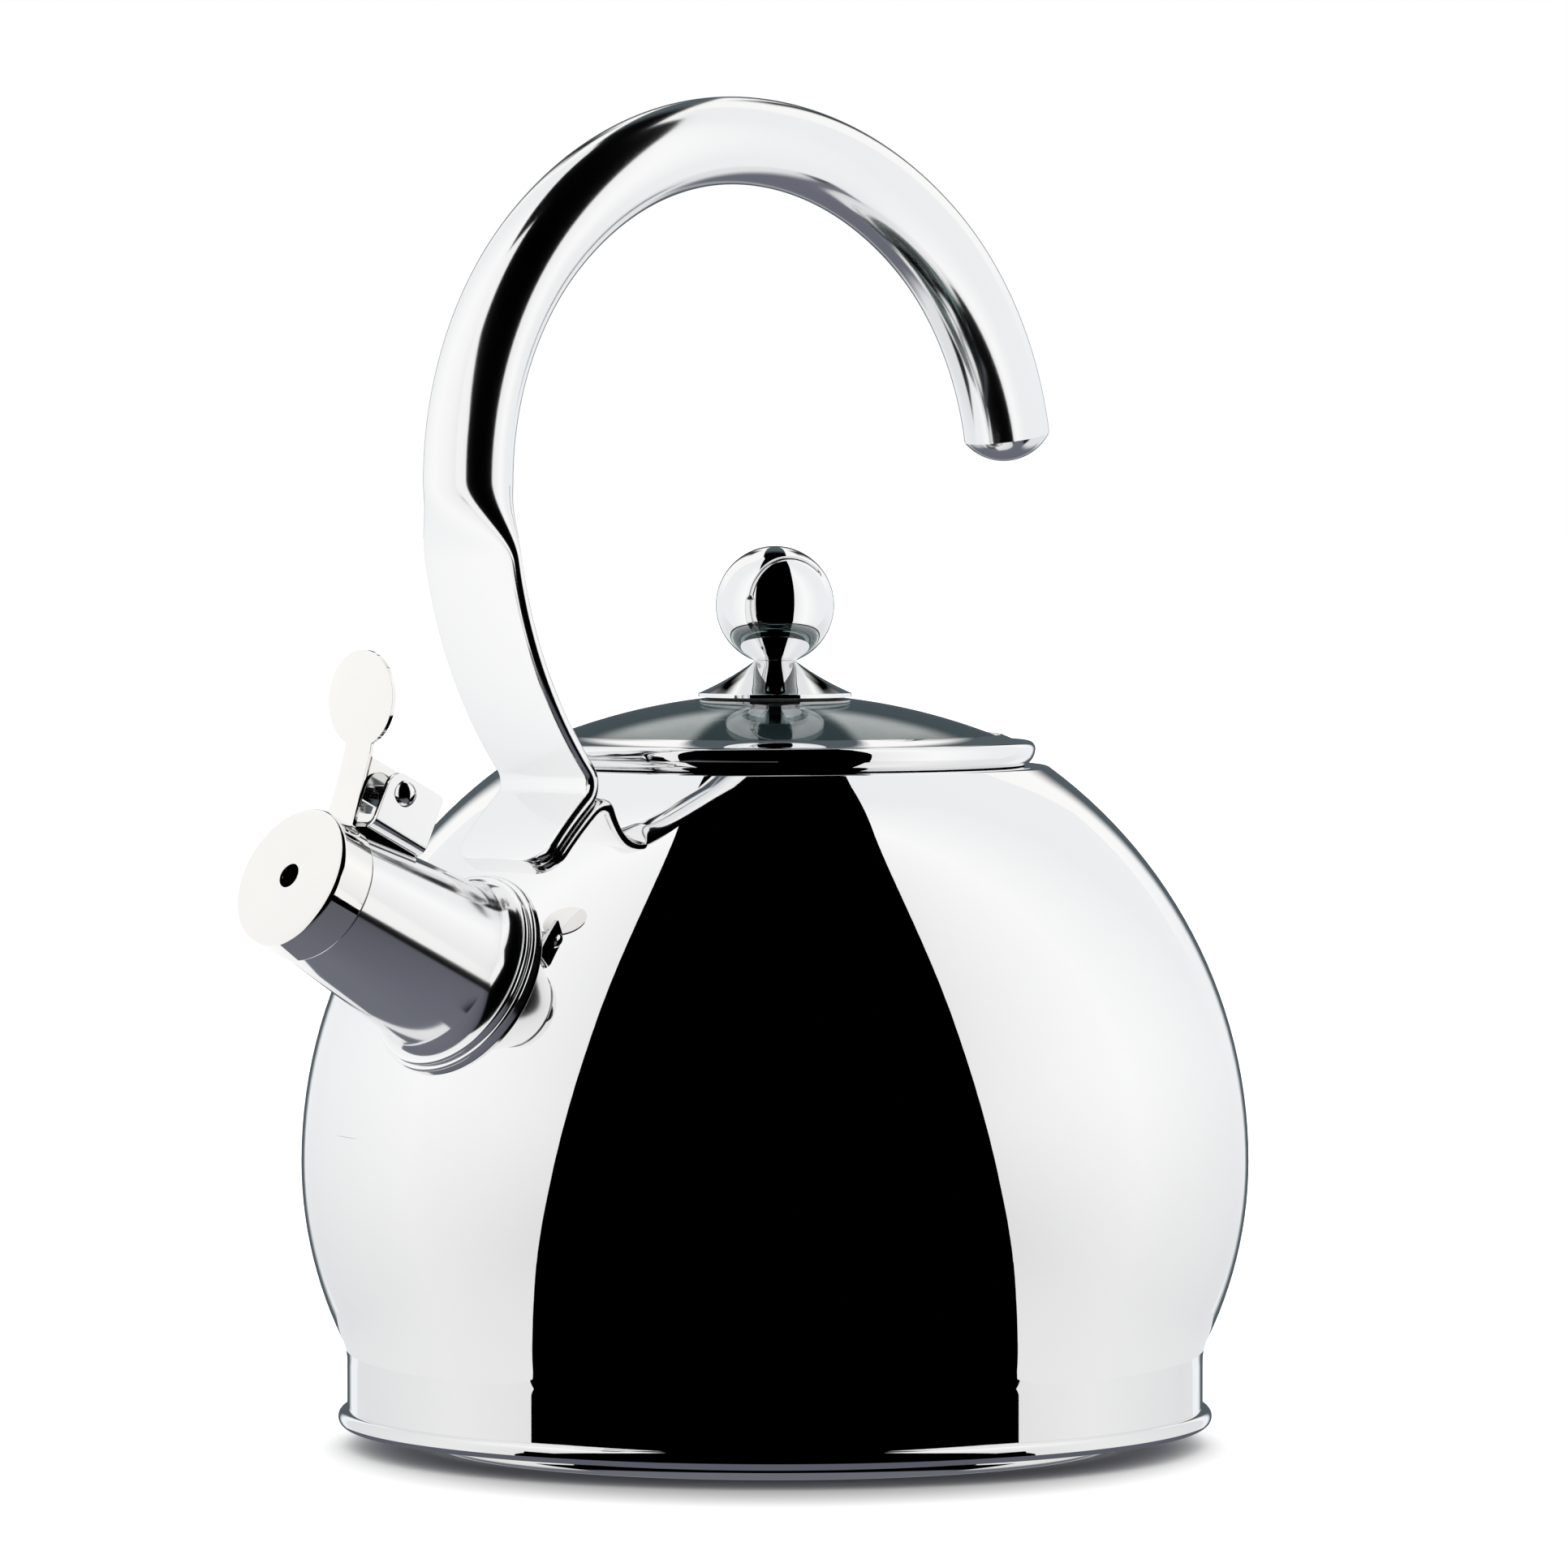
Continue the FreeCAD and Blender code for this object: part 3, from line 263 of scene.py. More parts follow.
class KettleFinish(PropertyGroup):
    polished: colour("Polished steel", (0.9, 0.9, 0.905), "Colour of the mirror-polished steel")
    satin: colour("Satin steel", (0.92, 0.91, 0.89), "Colour of the whistle's fine satin steel")
    wire: colour("Spring wire", (0.55, 0.55, 0.56), "Colour of the drawn wire")
    core: colour("Core", (0.78, 0.79, 0.8), "Colour of the enclosed aluminium")
    glass: colour("Glass", (0.5, 0.6, 0.6), "Tint of the lid's glass")
    silicone: colour("Silicone", (0.22, 0.23, 0.23), "Colour of the seals")
    floor: colour("Floor", (0.9, 0.9, 0.9), "Colour of the floor")


class KettleSettings(PropertyGroup):
    body: PointerProperty(type=KettleBody)
    base: PointerProperty(type=KettleBase)
    spout: PointerProperty(type=KettleSpout)
    whistle: PointerProperty(type=KettleWhistle)
    hinge: PointerProperty(type=KettleHinge)
    handle: PointerProperty(type=KettleHandle)
    lid: PointerProperty(type=KettleLid)
    knob: PointerProperty(type=KettleKnob)
    finish: PointerProperty(type=KettleFinish)


# Points in the XZ plane, as pairs


def flat(point):
    return Vector((point[0], 0.0, point[1]))


def polar(centre, radius, turn):
    """Point at a radius and an angle from +X about a centre."""
    return (centre[0] + radius * math.cos(turn), centre[1] + radius * math.sin(turn))


def towards(centre, point, distance):
    """Point at a distance from the centre, on the way to another point."""
    scale = distance / math.dist(centre, point)
    return (centre[0] + (point[0] - centre[0]) * scale, centre[1] + (point[1] - centre[1]) * scale)


def heading(centre, point):
    """Angle from +X of a point about a centre."""
    return math.atan2(point[1] - centre[1], point[0] - centre[0])


def turn_between(centre, start, end):
    """Signed angle, under half a circle, from one point to another about a centre."""
    turn = heading(centre, end) - heading(centre, start)
    return (turn + math.pi) % math.tau - math.pi


def arc_centre(start, end, radius):
    """Centre of an arc of a given radius, to the left of the way from start to end."""
    half = math.dist(start, end) / 2
    part = math.sqrt(radius ** 2 - half ** 2) / (2 * half)
    return (
        (start[0] + end[0]) / 2 - (end[1] - start[1]) * part,
        (start[1] + end[1]) / 2 + (end[0] - start[0]) * part,
    )


def is_bent(step):
    """Tell an arc, a (centre, point) pair of points, from a plain point."""
    return isinstance(step[0], tuple)


def end_of(step):
    return step[1] if is_bent(step) else step


def backwards(path):
    """The same path from its end to its start."""
    ends = [end_of(step) for step in path]
    steps = [ends[-1]]
    for step, end in zip(reversed(path[1:]), reversed(ends[:-1])):
        steps.append((step[0], end) if is_bent(step) else end)
    return steps


def tube_radius(at, setback):
    """Outside radius of the spout's tube at a distance behind the whistle's face."""
    return at.tube_tip + at.spout.taper * (setback - at.tube_front)


def find_places(kettle):
    """The settings, with the places that follow from them and that several pieces share."""
    at = SimpleNamespace(**{name: getattr(kettle, name) for name in KettleSettings.__annotations__})
    body, base, spout, whistle = at.body, at.base, at.spout, at.whistle
    hinge, handle, lid, knob = at.hinge, at.handle, at.lid, at.knob
    at.wall = body.radius - body.wall_inset
    at.upper_centre = (body.radius - body.upper_arc, body.bulge_height)
    at.lower_centre = (body.radius - body.lower_arc, body.bulge_height)
    at.ledge = body.bulge_height + body.ledge_rise
    reach = math.sqrt(
        (body.upper_arc - body.ledge_fillet) ** 2 - (body.ledge_rise - body.ledge_fillet) ** 2)
    at.ledge_centre = (at.upper_centre[0] + reach, at.ledge - body.ledge_fillet)
    at.mouth = at.ledge_centre[0] - body.ledge_width
    at.pan_top = base.height + base.pan_sheet
    at.capsule = at.wall - base.capsule_inset

    spout_reach = body.radius + spout.length
    at.face = (-spout_reach * math.cos(spout.slope),
               body.bulge_height + spout_reach * math.sin(spout.slope))
    at.nose_front = whistle.plate_back + whistle.gap
    at.nose = whistle.radius - whistle.sheet - spout.nose_clearance
    at.tube_front = whistle.band + whistle.gap
    at.tube_tip = whistle.radius - spout.tip_step
    at.collar = tube_radius(at, spout.length) + spout.collar_width
    at.bracket_front = whistle.band + hinge.gap
    at.pin = (at.bracket_front + hinge.inset, whistle.radius + hinge.rise)
    at.bracket_top = at.pin[1] + hinge.crest
    at.bracket_seat = tube_radius(at, at.bracket_front) + hinge.lift

    at.hook_top = at.ledge + handle.rise
    at.hook_front = handle.inset - body.radius
    at.crown = (at.hook_front + handle.front_span, at.hook_top)
    at.strap_centre = (at.hook_front + handle.strap_arc, at.hook_top - handle.front_drop)
    at.foot_centre = (-at.upper_centre[0], body.bulge_height)
    at.foot_arc = body.upper_arc + handle.strap_thick / 2 - handle.foot_sink
    collar_offset = at.collar - at.foot_centre[0] * math.sin(spout.slope)
    collar_edge = math.pi - spout.slope - math.asin(collar_offset / body.upper_arc)
    at.foot_end = collar_edge - handle.foot_gap / body.upper_arc

    at.lid_seat = at.ledge + lid.sheet
    at.plug = at.mouth - lid.plug_clearance
    at.glass = at.mouth + lid.glass_overlap
    at.glass_side = at.glass + lid.gasket_side
    inner_arc = lid.glass_arc - lid.glass_thick
    at.dome = at.lid_seat + lid.gasket_bed - math.sqrt(inner_arc ** 2 - at.glass ** 2)
    at.ball = at.dome + lid.glass_arc + knob.rise
    at.knob_seat = at.ball - math.sqrt(knob.radius ** 2 - knob.neck ** 2)
    return at


# Modelling by hand: outlines, spins, cuts and finishing


def clear_selection():
    """Deselect everything and pick vertices next."""
    bpy.ops.object.select_all(action="DESELECT")
    bpy.context.tool_settings.mesh_select_mode = (True, False, False)


def select_only(piece):
    bpy.ops.object.select_all(action="DESELECT")
    piece.select_set(True)
    bpy.context.view_layer.objects.active = piece


def name_piece(name):
    """Name the piece that was just added, and its mesh."""
    piece = bpy.context.object
    piece.name = name
    piece.data.name = name
    return piece


def draw_line(step):
    """Extrude the live vertex by a step."""
    bpy.ops.mesh.extrude_vertices_move(TRANSFORM_OT_translate={"value": step})


def start_outline(name, point):
    """Begin a piece with one vertex in edit mode."""
    clear_selection()
    bpy.ops.mesh.primitive_plane_add(size=SEED_SIZE, location=CENTRE, enter_editmode=True)
    bpy.ops.mesh.merge(type="CENTER")
    bpy.ops.transform.translate(value=point)
    return name_piece(name)


def draw_outline(path, fine):
    """Extrude the live vertex along straight steps and spin it round bent ones."""
    here = path[0]
    for step in path[1:]:
        there = end_of(step)
        if is_bent(step):
            turn = turn_between(step[0], here, there)
            count = max(FEWEST_ARC_STEPS, math.ceil(abs(turn) / fine))
            bpy.ops.mesh.spin(steps=count, angle=turn, center=flat(step[0]), axis=ALONG_Y)
        else:
            draw_line(flat(there) - flat(here))
        here = there


def tidy_mesh():
    """Merge doubles and turn all faces outward."""
    bpy.ops.mesh.select_all(action="SELECT")
    bpy.ops.mesh.remove_doubles(threshold=MERGE_DISTANCE)
    bpy.ops.mesh.normals_make_consistent(inside=False)


def finish_mesh():
    """Tidy the mesh and leave edit mode."""
    tidy_mesh()
    bpy.ops.object.mode_set(mode="OBJECT")


def apply_modifier(piece, kind, **settings):
    """Add a modifier to the active piece, set it up and apply it."""
    bpy.ops.object.modifier_add(type=kind)
    modifier = piece.modifiers[-1]
    for key, value in settings.items():
        setattr(modifier, key, value)
    bpy.ops.object.modifier_apply(modifier=modifier.name)


def round_edges(piece, width, segments):
    """Round the sharp edges of the active piece."""
    apply_modifier(
        piece, "BEVEL", width=width, segments=segments, limit_method="ANGLE", angle_limit=BEVEL_ANGLE)


def smooth(piece, sharp):
    """Shade a piece smoothly, with broad faces leading the shading at their rounded edges."""
    select_only(piece)
    bpy.ops.object.shade_smooth_by_angle(angle=sharp)
    apply_modifier(piece, "WEIGHTED_NORMAL", keep_sharp=True)


def set_in_place(piece, point, tilt=CENTRE):
    """Move and turn a piece that was drawn at the origin, and keep its place in its mesh."""
    piece.location = point
    piece.rotation_euler = tilt
    bpy.ops.object.transform_apply(location=True, rotation=True, scale=True)


def turned(name, path, axis=ALONG_Z, steps=TURN_STEPS, fine=FINE_ARC):
    """Spin a closed outline a full turn and leave the piece selected in object mode."""
    piece = start_outline(name, flat(path[0]))
    draw_outline([*path, path[0]], fine)
    bpy.ops.mesh.select_all(action="SELECT")
    bpy.ops.mesh.spin(steps=steps, angle=math.tau, center=CENTRE, axis=axis)
    finish_mesh()
    return piece


def on_spout(piece, at):
    """Set a piece that was drawn in the spout's frame on the kettle."""
    set_in_place(piece, flat(at.face), (0.0, at.spout.slope, 0.0))


def cut_away(piece, cutter):
    """Cut one solid out of another and remove the cutter."""
    select_only(piece)
    apply_modifier(piece, "BOOLEAN", operation="DIFFERENCE", solver="EXACT", object=cutter)
    bpy.data.objects.remove(cutter)


def dress(piece, material, slot, body, *nodes, sharp=SHARP_ANGLE):
    """Smooth a piece, give it its material and its body, and hide the nodes that it stands for; its
    slot is not used.
    """
    smooth(piece, sharp)
    piece.data.materials.clear()
    piece.data.materials.append(material)
    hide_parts(*nodes)
    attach(piece, body)


# Materials

METAL = {"Metallic": 1.0}
GLASS = {"IOR": 1.5, "Transmission Weight": 1.0}
SEAL = {"Subsurface Weight": 0.1, "Subsurface Radius": (0.002, 0.002, 0.002)}
NOISE_MIDDLE = (0.3, 0.7)
WIPE_MARKS = {"scale": 22.0, "detail": 4.0}
POLISH_WAVES = {"scale": 60.0, "detail": 1.0}
SATIN_CLOUDS = {"scale": 45.0}
SATIN_GRAIN = {"scale": 900.0, "detail": 2.0, "stretch": (1.0, 0.12, 1.0)}
WIRE_MARKS = {"scale": 1500.0}
CAST_GRAIN = {"scale": 300.0}
GLASS_CLOUDS = {"scale": 30.0}
SEAL_GRAIN = {"scale": 700.0}
FLOOR_MOTTLE = {"scale": 3.0}
MIRROR_HAZE = (0.004, 0.014)
BUFFED_HAZE = (0.09, 0.13)


def start_material(name):
    """The material of a name, with its nodes if it is new."""
    material = bpy.data.materials.get(name)
    if material:
        return material, None
    material = bpy.data.materials.new(name)
    material.use_nodes = True
    return material, material.node_tree


def add_noise(tree, scale, detail=3.0, stretch=(1.0, 1.0, 1.0)):
    """Noise on the piece's own coordinates, stretched along some of them."""
    place = tree.nodes.new("ShaderNodeTexCoord")
    mapping = tree.nodes.new("ShaderNodeMapping")
    mapping.inputs["Scale"].default_value = stretch
    noise = tree.nodes.new("ShaderNodeTexNoise")
    noise.inputs["Scale"].default_value = scale
    noise.inputs["Detail"].default_value = detail
    tree.links.new(place.outputs["Object"], mapping.inputs["Vector"])
    tree.links.new(mapping.outputs["Vector"], noise.inputs["Vector"])
    return noise.outputs["Fac"]


def add_range(tree, source, low, high):
    """Spread a noise's middle values over a range of numbers."""
    span = tree.nodes.new("ShaderNodeMapRange")
    for key, value in zip(("From Min", "From Max", "To Min", "To Max"), (*NOISE_MIDDLE, low, high)):
        span.inputs[key].default_value = value
    tree.links.new(source, span.inputs["Value"])
    return span.outputs["Result"]


def scaled(shade, factor):
    return tuple(min(1.0, channel * factor) for channel in shade)


def add_shades(tree, source, shade, darkest):
    """Blend by a noise from a darkened shade to the shade itself."""
    ramp = tree.nodes.new("ShaderNodeValToRGB")
    for mark, place, factor in zip(ramp.color_ramp.elements, NOISE_MIDDLE, (darkest, 1.0)):
        mark.position = place
        mark.color = (*scaled(shade, factor), 1.0)
    tree.links.new(source, ramp.inputs["Fac"])
    return ramp.outputs["Color"]


def add_bump(tree, source, strength, distance):
    bump = tree.nodes.new("ShaderNodeBump")
    bump.inputs["Strength"].default_value = strength
    bump.inputs["Distance"].default_value = distance
    tree.links.new(source, bump.inputs["Height"])
    return bump.outputs["Normal"]


def make_surface(name, settings, shade, darkest, clouds, grain, roughness, relief=None):
    """Material whose shade follows one noise, its roughness another and its relief, if any, a third."""
    material, tree = start_material(name)
    if tree:
        surface = tree.nodes["Principled BSDF"].inputs
        for key, value in settings.items():
            surface[key].default_value = value
        shades = add_shades(tree, add_noise(tree, **clouds), shade, darkest)
        tree.links.new(shades, surface["Base Color"])
        haze = add_range(tree, add_noise(tree, **grain), *roughness)
        tree.links.new(haze, surface["Roughness"])
        if relief:
            noise, strength, distance = relief
            bump = add_bump(tree, add_noise(tree, **noise), strength, distance)
            tree.links.new(bump, surface["Normal"])
    return material


def polished_steel(finish, name="mirror_polish", haze=MIRROR_HAZE):
    """Polished steel with faint cloudy wipe marks, as clear as its haze allows."""
    return make_surface(
        name, METAL, finish.polished, darkest=0.985, clouds=WIPE_MARKS, grain=WIPE_MARKS,
        roughness=haze, relief=(POLISH_WAVES, 0.02, 0.0001))


def buffed_steel(finish):
    """Steel that was polished by hand on a wheel, a little softer than the spun body."""
    return polished_steel(finish, "buffed_polish", BUFFED_HAZE)


def satin_steel(finish):
    """Steel with a fine even grain."""
    return make_surface(
        "fine_satin", METAL, finish.satin, darkest=0.97, clouds=SATIN_CLOUDS, grain=SATIN_GRAIN,
        roughness=(0.03, 0.06), relief=(SATIN_GRAIN, 0.04, 0.00003))


def spring_wire(finish):
    """Drawn wire with faint drawing marks."""
    return make_surface(
        "spring_wire", METAL, finish.wire, darkest=0.8, clouds=WIRE_MARKS, grain=WIRE_MARKS,
        roughness=(0.2, 0.35))


def bare_aluminium(finish):
    """Dull aluminium of the enclosed disc."""
    return make_surface(
        "bare_aluminium", METAL, finish.core, darkest=0.85, clouds=CAST_GRAIN, grain=CAST_GRAIN,
        roughness=(0.4, 0.6))


def tinted_glass(finish):
    """Grey-green tempered glass with a slightly wiped surface."""
    return make_surface(
        "smoked_glass", GLASS, finish.glass, darkest=0.96, clouds=GLASS_CLOUDS, grain=GLASS_CLOUDS,
        roughness=(0.0, 0.02))


def grey_silicone(finish):
    """Soft matt seal with a fine moulded grain."""
    return make_surface(
        "grey_silicone", SEAL, finish.silicone, darkest=0.85, clouds=SEAL_GRAIN, grain=SEAL_GRAIN,
        roughness=(0.45, 0.6), relief=(SEAL_GRAIN, 0.1, 0.0001))


# Body and base


def shell_path(at, inset):
    """Half section of the shell's surface from its foot to the neck, set in by a depth."""
    body = at.body
    waist_reach = at.wall + body.waist_fillet - at.lower_centre[0]
    waist_drop = math.sqrt((body.lower_arc + body.waist_fillet) ** 2 - waist_reach ** 2)
    waist_centre = (at.wall + body.waist_fillet, body.bulge_height - waist_drop)
    neck_centre = (at.mouth + body.neck_bend, at.ledge - body.neck_bend)
    top = at.ledge - inset
    neck = at.mouth + inset
    return [
        (at.wall - inset, at.pan_top),
        (at.wall - inset, waist_centre[1]),
        (waist_centre, towards(at.lower_centre, waist_centre, body.lower_arc - inset)),
        (at.lower_centre, (body.radius - inset, body.bulge_height)),
        (at.upper_centre, towards(at.upper_centre, at.ledge_centre, body.upper_arc - inset)),
        (at.ledge_centre, (at.ledge_centre[0], top)),
        (neck_centre[0], top),
        (neck_centre, (neck, neck_centre[1])),
        (neck, at.ledge - body.neck_depth),
    ]


def model_body_shell(at):
    """Spun shell with its ledge and neck, holed where the spout opens into it."""
    outside = shell_path(at, 0.0)
    inside = backwards(shell_path(at, at.body.sheet))
    shell = turned("kettle_body", outside + inside, fine=CLOSE_ARC)
    start = at.spout.length - HOLE_AHEAD
    end = at.spout.length + HOLE_BEHIND
    sheet = at.spout.sheet
    cutter = turned("spout_hole", [
        (start, 0.0),
        (start, tube_radius(at, start) - sheet),
        (end, tube_radius(at, end) - sheet),
        (end, 0.0),
    ], axis=ALONG_X, steps=RING_STEPS)
    on_spout(cutter, at)
    cut_away(shell, cutter)
    dress(shell, polished_steel(at.finish), "polished_steel", "kettle", "body_shell")


def model_base_pan(at):
    """Floor of the body, with its edge rolled out round the shell's foot."""
    base = at.base
    bead_centre = (at.wall, base.height + base.bead)
    pan = turned("base_pan_rolled", [
        (0.0, base.height),
        (at.wall, base.height),
        (bead_centre, (at.wall + base.bead, bead_centre[1])),
        (bead_centre, (at.wall, base.height + 2 * base.bead)),
        (at.wall, at.pan_top),
        (0.0, at.pan_top),
    ], fine=BEAD_ARC)
    dress(pan, polished_steel(at.finish), "polished_steel", "kettle", "base_pan")


def model_base_cap(at):
    """Steel cap pressed over the aluminium disc."""
    base = at.base
    corner = (at.capsule - base.capsule_corner, base.capsule_corner)
    inner = base.capsule_sheet
    cap = turned("base_capsule", [
        (0.0, 0.0),
        (corner[0], 0.0),
        (corner, (at.capsule, corner[1])),
        (at.capsule, base.height),
        (at.capsule - inner, base.height),
        (at.capsule - inner, corner[1]),
        (corner, (corner[0], inner)),
        (0.0, inner),
    ], fine=BEAD_ARC)
    dress(cap, satin_steel(at.finish), "satin_steel", "kettle", "base_cap")


class KETTLE_OT_body(Operator):
    """Model the shell, the rolled pan and the capsule under it"""
    bl_idname = "kettle.body"
    bl_label = "Body and Base"

    def execute(self, context):
        at = find_places(context.scene.kettle)
        model_body_shell(at)
        model_base_pan(at)
        model_base_cap(at)
        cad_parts["base_core"].data.materials[0] = bare_aluminium(at.finish)
        return {"FINISHED"}


# Spout


def model_spout_tube(at):
    """Tapered tube with its stepped nose."""
    spout = at.spout
    end = spout.length + TUBE_SINK
    sheet = spout.sheet
    edge = spout.edge
    step = at.tube_front + sheet
    edge_centre = (at.tube_front + edge, at.tube_tip - edge)
    tube = turned("spout_tapered_tube", [
        (at.nose_front, at.nose),
        (at.tube_front, at.nose),
        (at.tube_front, edge_centre[1]),
        (edge_centre, (edge_centre[0], at.tube_tip)),
        (end, tube_radius(at, end)),
        (end, tube_radius(at, end) - sheet),
        (step, tube_radius(at, step) - sheet),
        (step, at.nose - sheet),
        (at.nose_front, at.nose - sheet),
    ], axis=ALONG_X, steps=SMALL_TURN_STEPS)
    on_spout(tube, at)
    dress(tube, buffed_steel(at.finish), "polished_steel", "kettle", "spout_tube")


def model_spout_collar(at):
    """Ring round the foot of the spout: a hollow flare, then two rolled beads on the body."""
    spout = at.spout
    bead = spout.collar_bead
    front = spout.length - spout.collar_rise
    start = (front, tube_radius(at, front))
    outer_bead = (spout.length + bead, at.collar - bead)
    inner_bead = (outer_bead[0] - 2 * bead, outer_bead[1] - bead)
    flare_end = (inner_bead[0] - bead, inner_bead[1])
    collar = turned("spout_rolled_collar", [
        (start[0], start[1] - bead),
        start,
        (arc_centre(start, flare_end, spout.collar_flare), flare_end),
        (inner_bead, (inner_bead[0], inner_bead[1] + bead)),
        (outer_bead[0] - bead, outer_bead[1]),
        (outer_bead, (outer_bead[0], at.collar)),
        (spout.length + COLLAR_SINK, at.collar),
        (spout.length + COLLAR_BACK, start[1] - bead),
    ], axis=ALONG_X, steps=SMALL_TURN_STEPS)
    on_spout(collar, at)
    dress(collar, buffed_steel(at.finish), "polished_steel", "kettle", "spout_collar")


class KETTLE_OT_spout(Operator):
    """Model the tapered spout and the collar at its foot"""
    bl_idname = "kettle.spout"
    bl_label = "Spout"

    def execute(self, context):
        at = find_places(context.scene.kettle)
        model_spout_tube(at)
        model_spout_collar(at)
        return {"FINISHED"}


# Hinge


def select_where(piece, kind, test):
    """Select only the vertices, edges or faces of the piece in edit mode whose middle passes a test."""
    bpy.ops.mesh.select_mode(type=kind)
    bpy.ops.mesh.select_all(action="DESELECT")
    mesh = bmesh.from_edit_mesh(piece.data)
    parts = {"VERT": mesh.verts, "EDGE": mesh.edges, "FACE": mesh.faces}[kind]
    for part in parts:
        spots = [part.co] if kind == "VERT" else [vert.co for vert in part.verts]
        if test(sum(spots, Vector()) / len(spots), part):
            part.select = True
    mesh.select_flush_mode()
    bmesh.update_edit_mesh(piece.data)


def model_hinge_bracket(at):
    """Channel of bent sheet: two cheeks on a web that sits on the tube."""
    hinge = at.hinge
    height = at.bracket_top - at.bracket_seat
    half = hinge.width / 2
    clear_selection()
    bpy.ops.mesh.primitive_cube_add(size=1.0, location=CENTRE, enter_editmode=True)
    piece = name_piece("hinge_channel")
    bpy.ops.transform.resize(value=(hinge.length, hinge.width, height), center_override=CENTRE)
    bpy.ops.transform.translate(
        value=(at.bracket_front + hinge.length / 2, 0.0, at.bracket_seat + height / 2))
    select_where(piece, "FACE", lambda middle, face: (
        abs(face.normal.x) > NORMAL_SHARE or face.normal.z > NORMAL_SHARE))
    bpy.ops.mesh.delete(type="FACE")
    select_where(piece, "EDGE", lambda middle, edge: (
        middle.z < at.bracket_seat + MERGE_DISTANCE and abs(abs(middle.y) - half) < MERGE_DISTANCE))
    bpy.ops.mesh.bevel(offset=hinge.bend, segments=BEND_SEGMENTS, affect="EDGES")
    bpy.ops.mesh.select_all(action="SELECT")
    bpy.ops.mesh.normals_make_consistent(inside=False)
    bpy.ops.object.mode_set(mode="OBJECT")
    apply_modifier(piece, "SOLIDIFY", thickness=hinge.sheet, offset=-1.0)
    bpy.ops.object.mode_set(mode="EDIT")

    def is_top(middle, edge):
        return (middle.z > at.bracket_top - MERGE_DISTANCE
                and abs(edge.verts[0].co.y - edge.verts[1].co.y) > hinge.sheet / 2)

    select_where(piece, "EDGE", lambda middle, edge: (
        is_top(middle, edge) and middle.x < at.bracket_front + MERGE_DISTANCE))
    bpy.ops.mesh.bevel(offset=hinge.crest, segments=FRONT_SEGMENTS, affect="EDGES")
    select_where(piece, "EDGE", lambda middle, edge: (
        is_top(middle, edge) and middle.x > at.bracket_front + hinge.length - MERGE_DISTANCE))
    bpy.ops.mesh.bevel(offset=hinge.corner, segments=BEND_SEGMENTS, affect="EDGES")
    finish_mesh()
    round_edges(piece, BRACKET_EDGE, segments=2)
    on_spout(piece, at)
    dress(piece, buffed_steel(at.finish), "polished_steel", "kettle", "hinge_bracket")


def model_hinge_pin(at):
    """Rivet with a domed head outside each cheek."""
    hinge = at.hinge
    half = hinge.width / 2
    ball = (hinge.head_radius ** 2 + hinge.head_rise ** 2) / (2 * hinge.head_rise)
    crown = half + hinge.head_rise
    pin = turned("hinge_rivet", [
        (-crown, 0.0),
        ((ball - crown, 0.0), (-half, hinge.head_radius)),
        (-half, hinge.pin_radius),
        (half, hinge.pin_radius),
        (half, hinge.head_radius),
        ((crown - ball, 0.0), (crown, 0.0)),
    ], axis=ALONG_X, steps=RIVET_STEPS, fine=SMALL_ARC)
    set_in_place(pin, flat(at.pin), (0.0, 0.0, math.pi / 2))
    on_spout(pin, at)
    dress(pin, buffed_steel(at.finish), "polished_steel", "kettle", "hinge_pin")


def model_hinge_spring(at):
    """Torsion spring with a leg on the web, three turns round the pin and a leg behind the lever."""
    hinge, whistle = at.hinge, at.whistle
    radius = hinge.pin_radius + hinge.coil_play + hinge.wire / 2
    sweep = hinge.coil_end - hinge.coil_start
    climb = (hinge.wire + hinge.coil_gap) / math.tau
    count = math.ceil(sweep / COIL_ARC)
    turns = [hinge.coil_start + sweep * number / count for number in range(count + 1)]
    path = []
    for turn in turns:
        aside = climb * (turn - hinge.coil_start - sweep / 2)
        path.append(flat(polar(at.pin, radius, turn)) + Vector((0.0, aside, 0.0)))
    low_heading, high_heading = (
        flat(polar(FLAT_CENTRE, radius, turn + math.pi / 2)) + Vector((0.0, climb, 0.0))
        for turn in (turns[0], turns[-1]))
    seat = at.bracket_seat + hinge.sheet + hinge.wire / 2
    lever_back = (
        whistle.band - whistle.lever_inset + (whistle.lever_sheet + hinge.wire) / 2 + COIL_CLEARANCE
        - math.tan(whistle.lever_lean) * (path[-1].z - whistle.radius))
    path.insert(0, path[0] - low_heading * ((path[0].z - seat) / low_heading.z))
    path.append(path[-1] + high_heading * ((lever_back - path[-1].x) / high_heading.x))

    start_outline("torsion_spring", path[0])
    for here, there in zip(path, path[1:]):
        draw_line(there - here)
    bpy.ops.object.mode_set(mode="OBJECT")
    bpy.ops.object.convert(target="CURVE")
    wire = bpy.context.object
    wire.data.bevel_depth = hinge.wire / 2
    wire.data.bevel_resolution = WIRE_ROUNDING
    wire.data.use_fill_caps = True
    bpy.ops.object.convert(target="MESH")
    piece = name_piece("torsion_spring")
    bpy.ops.object.mode_set(mode="EDIT")
    finish_mesh()
    on_spout(piece, at)
    dress(piece, spring_wire(at.finish), "spring_steel", "kettle", "hinge_spring")


class KETTLE_OT_hinge(Operator):
    """Model the bracket on the spout, its riveted pin and its spring"""
    bl_idname = "kettle.hinge"
    bl_label = "Hinge"

    def execute(self, context):
        at = find_places(context.scene.kettle)
        model_hinge_bracket(at)
        model_hinge_pin(at)
        model_hinge_spring(at)
        return {"FINISHED"}


# Whistle


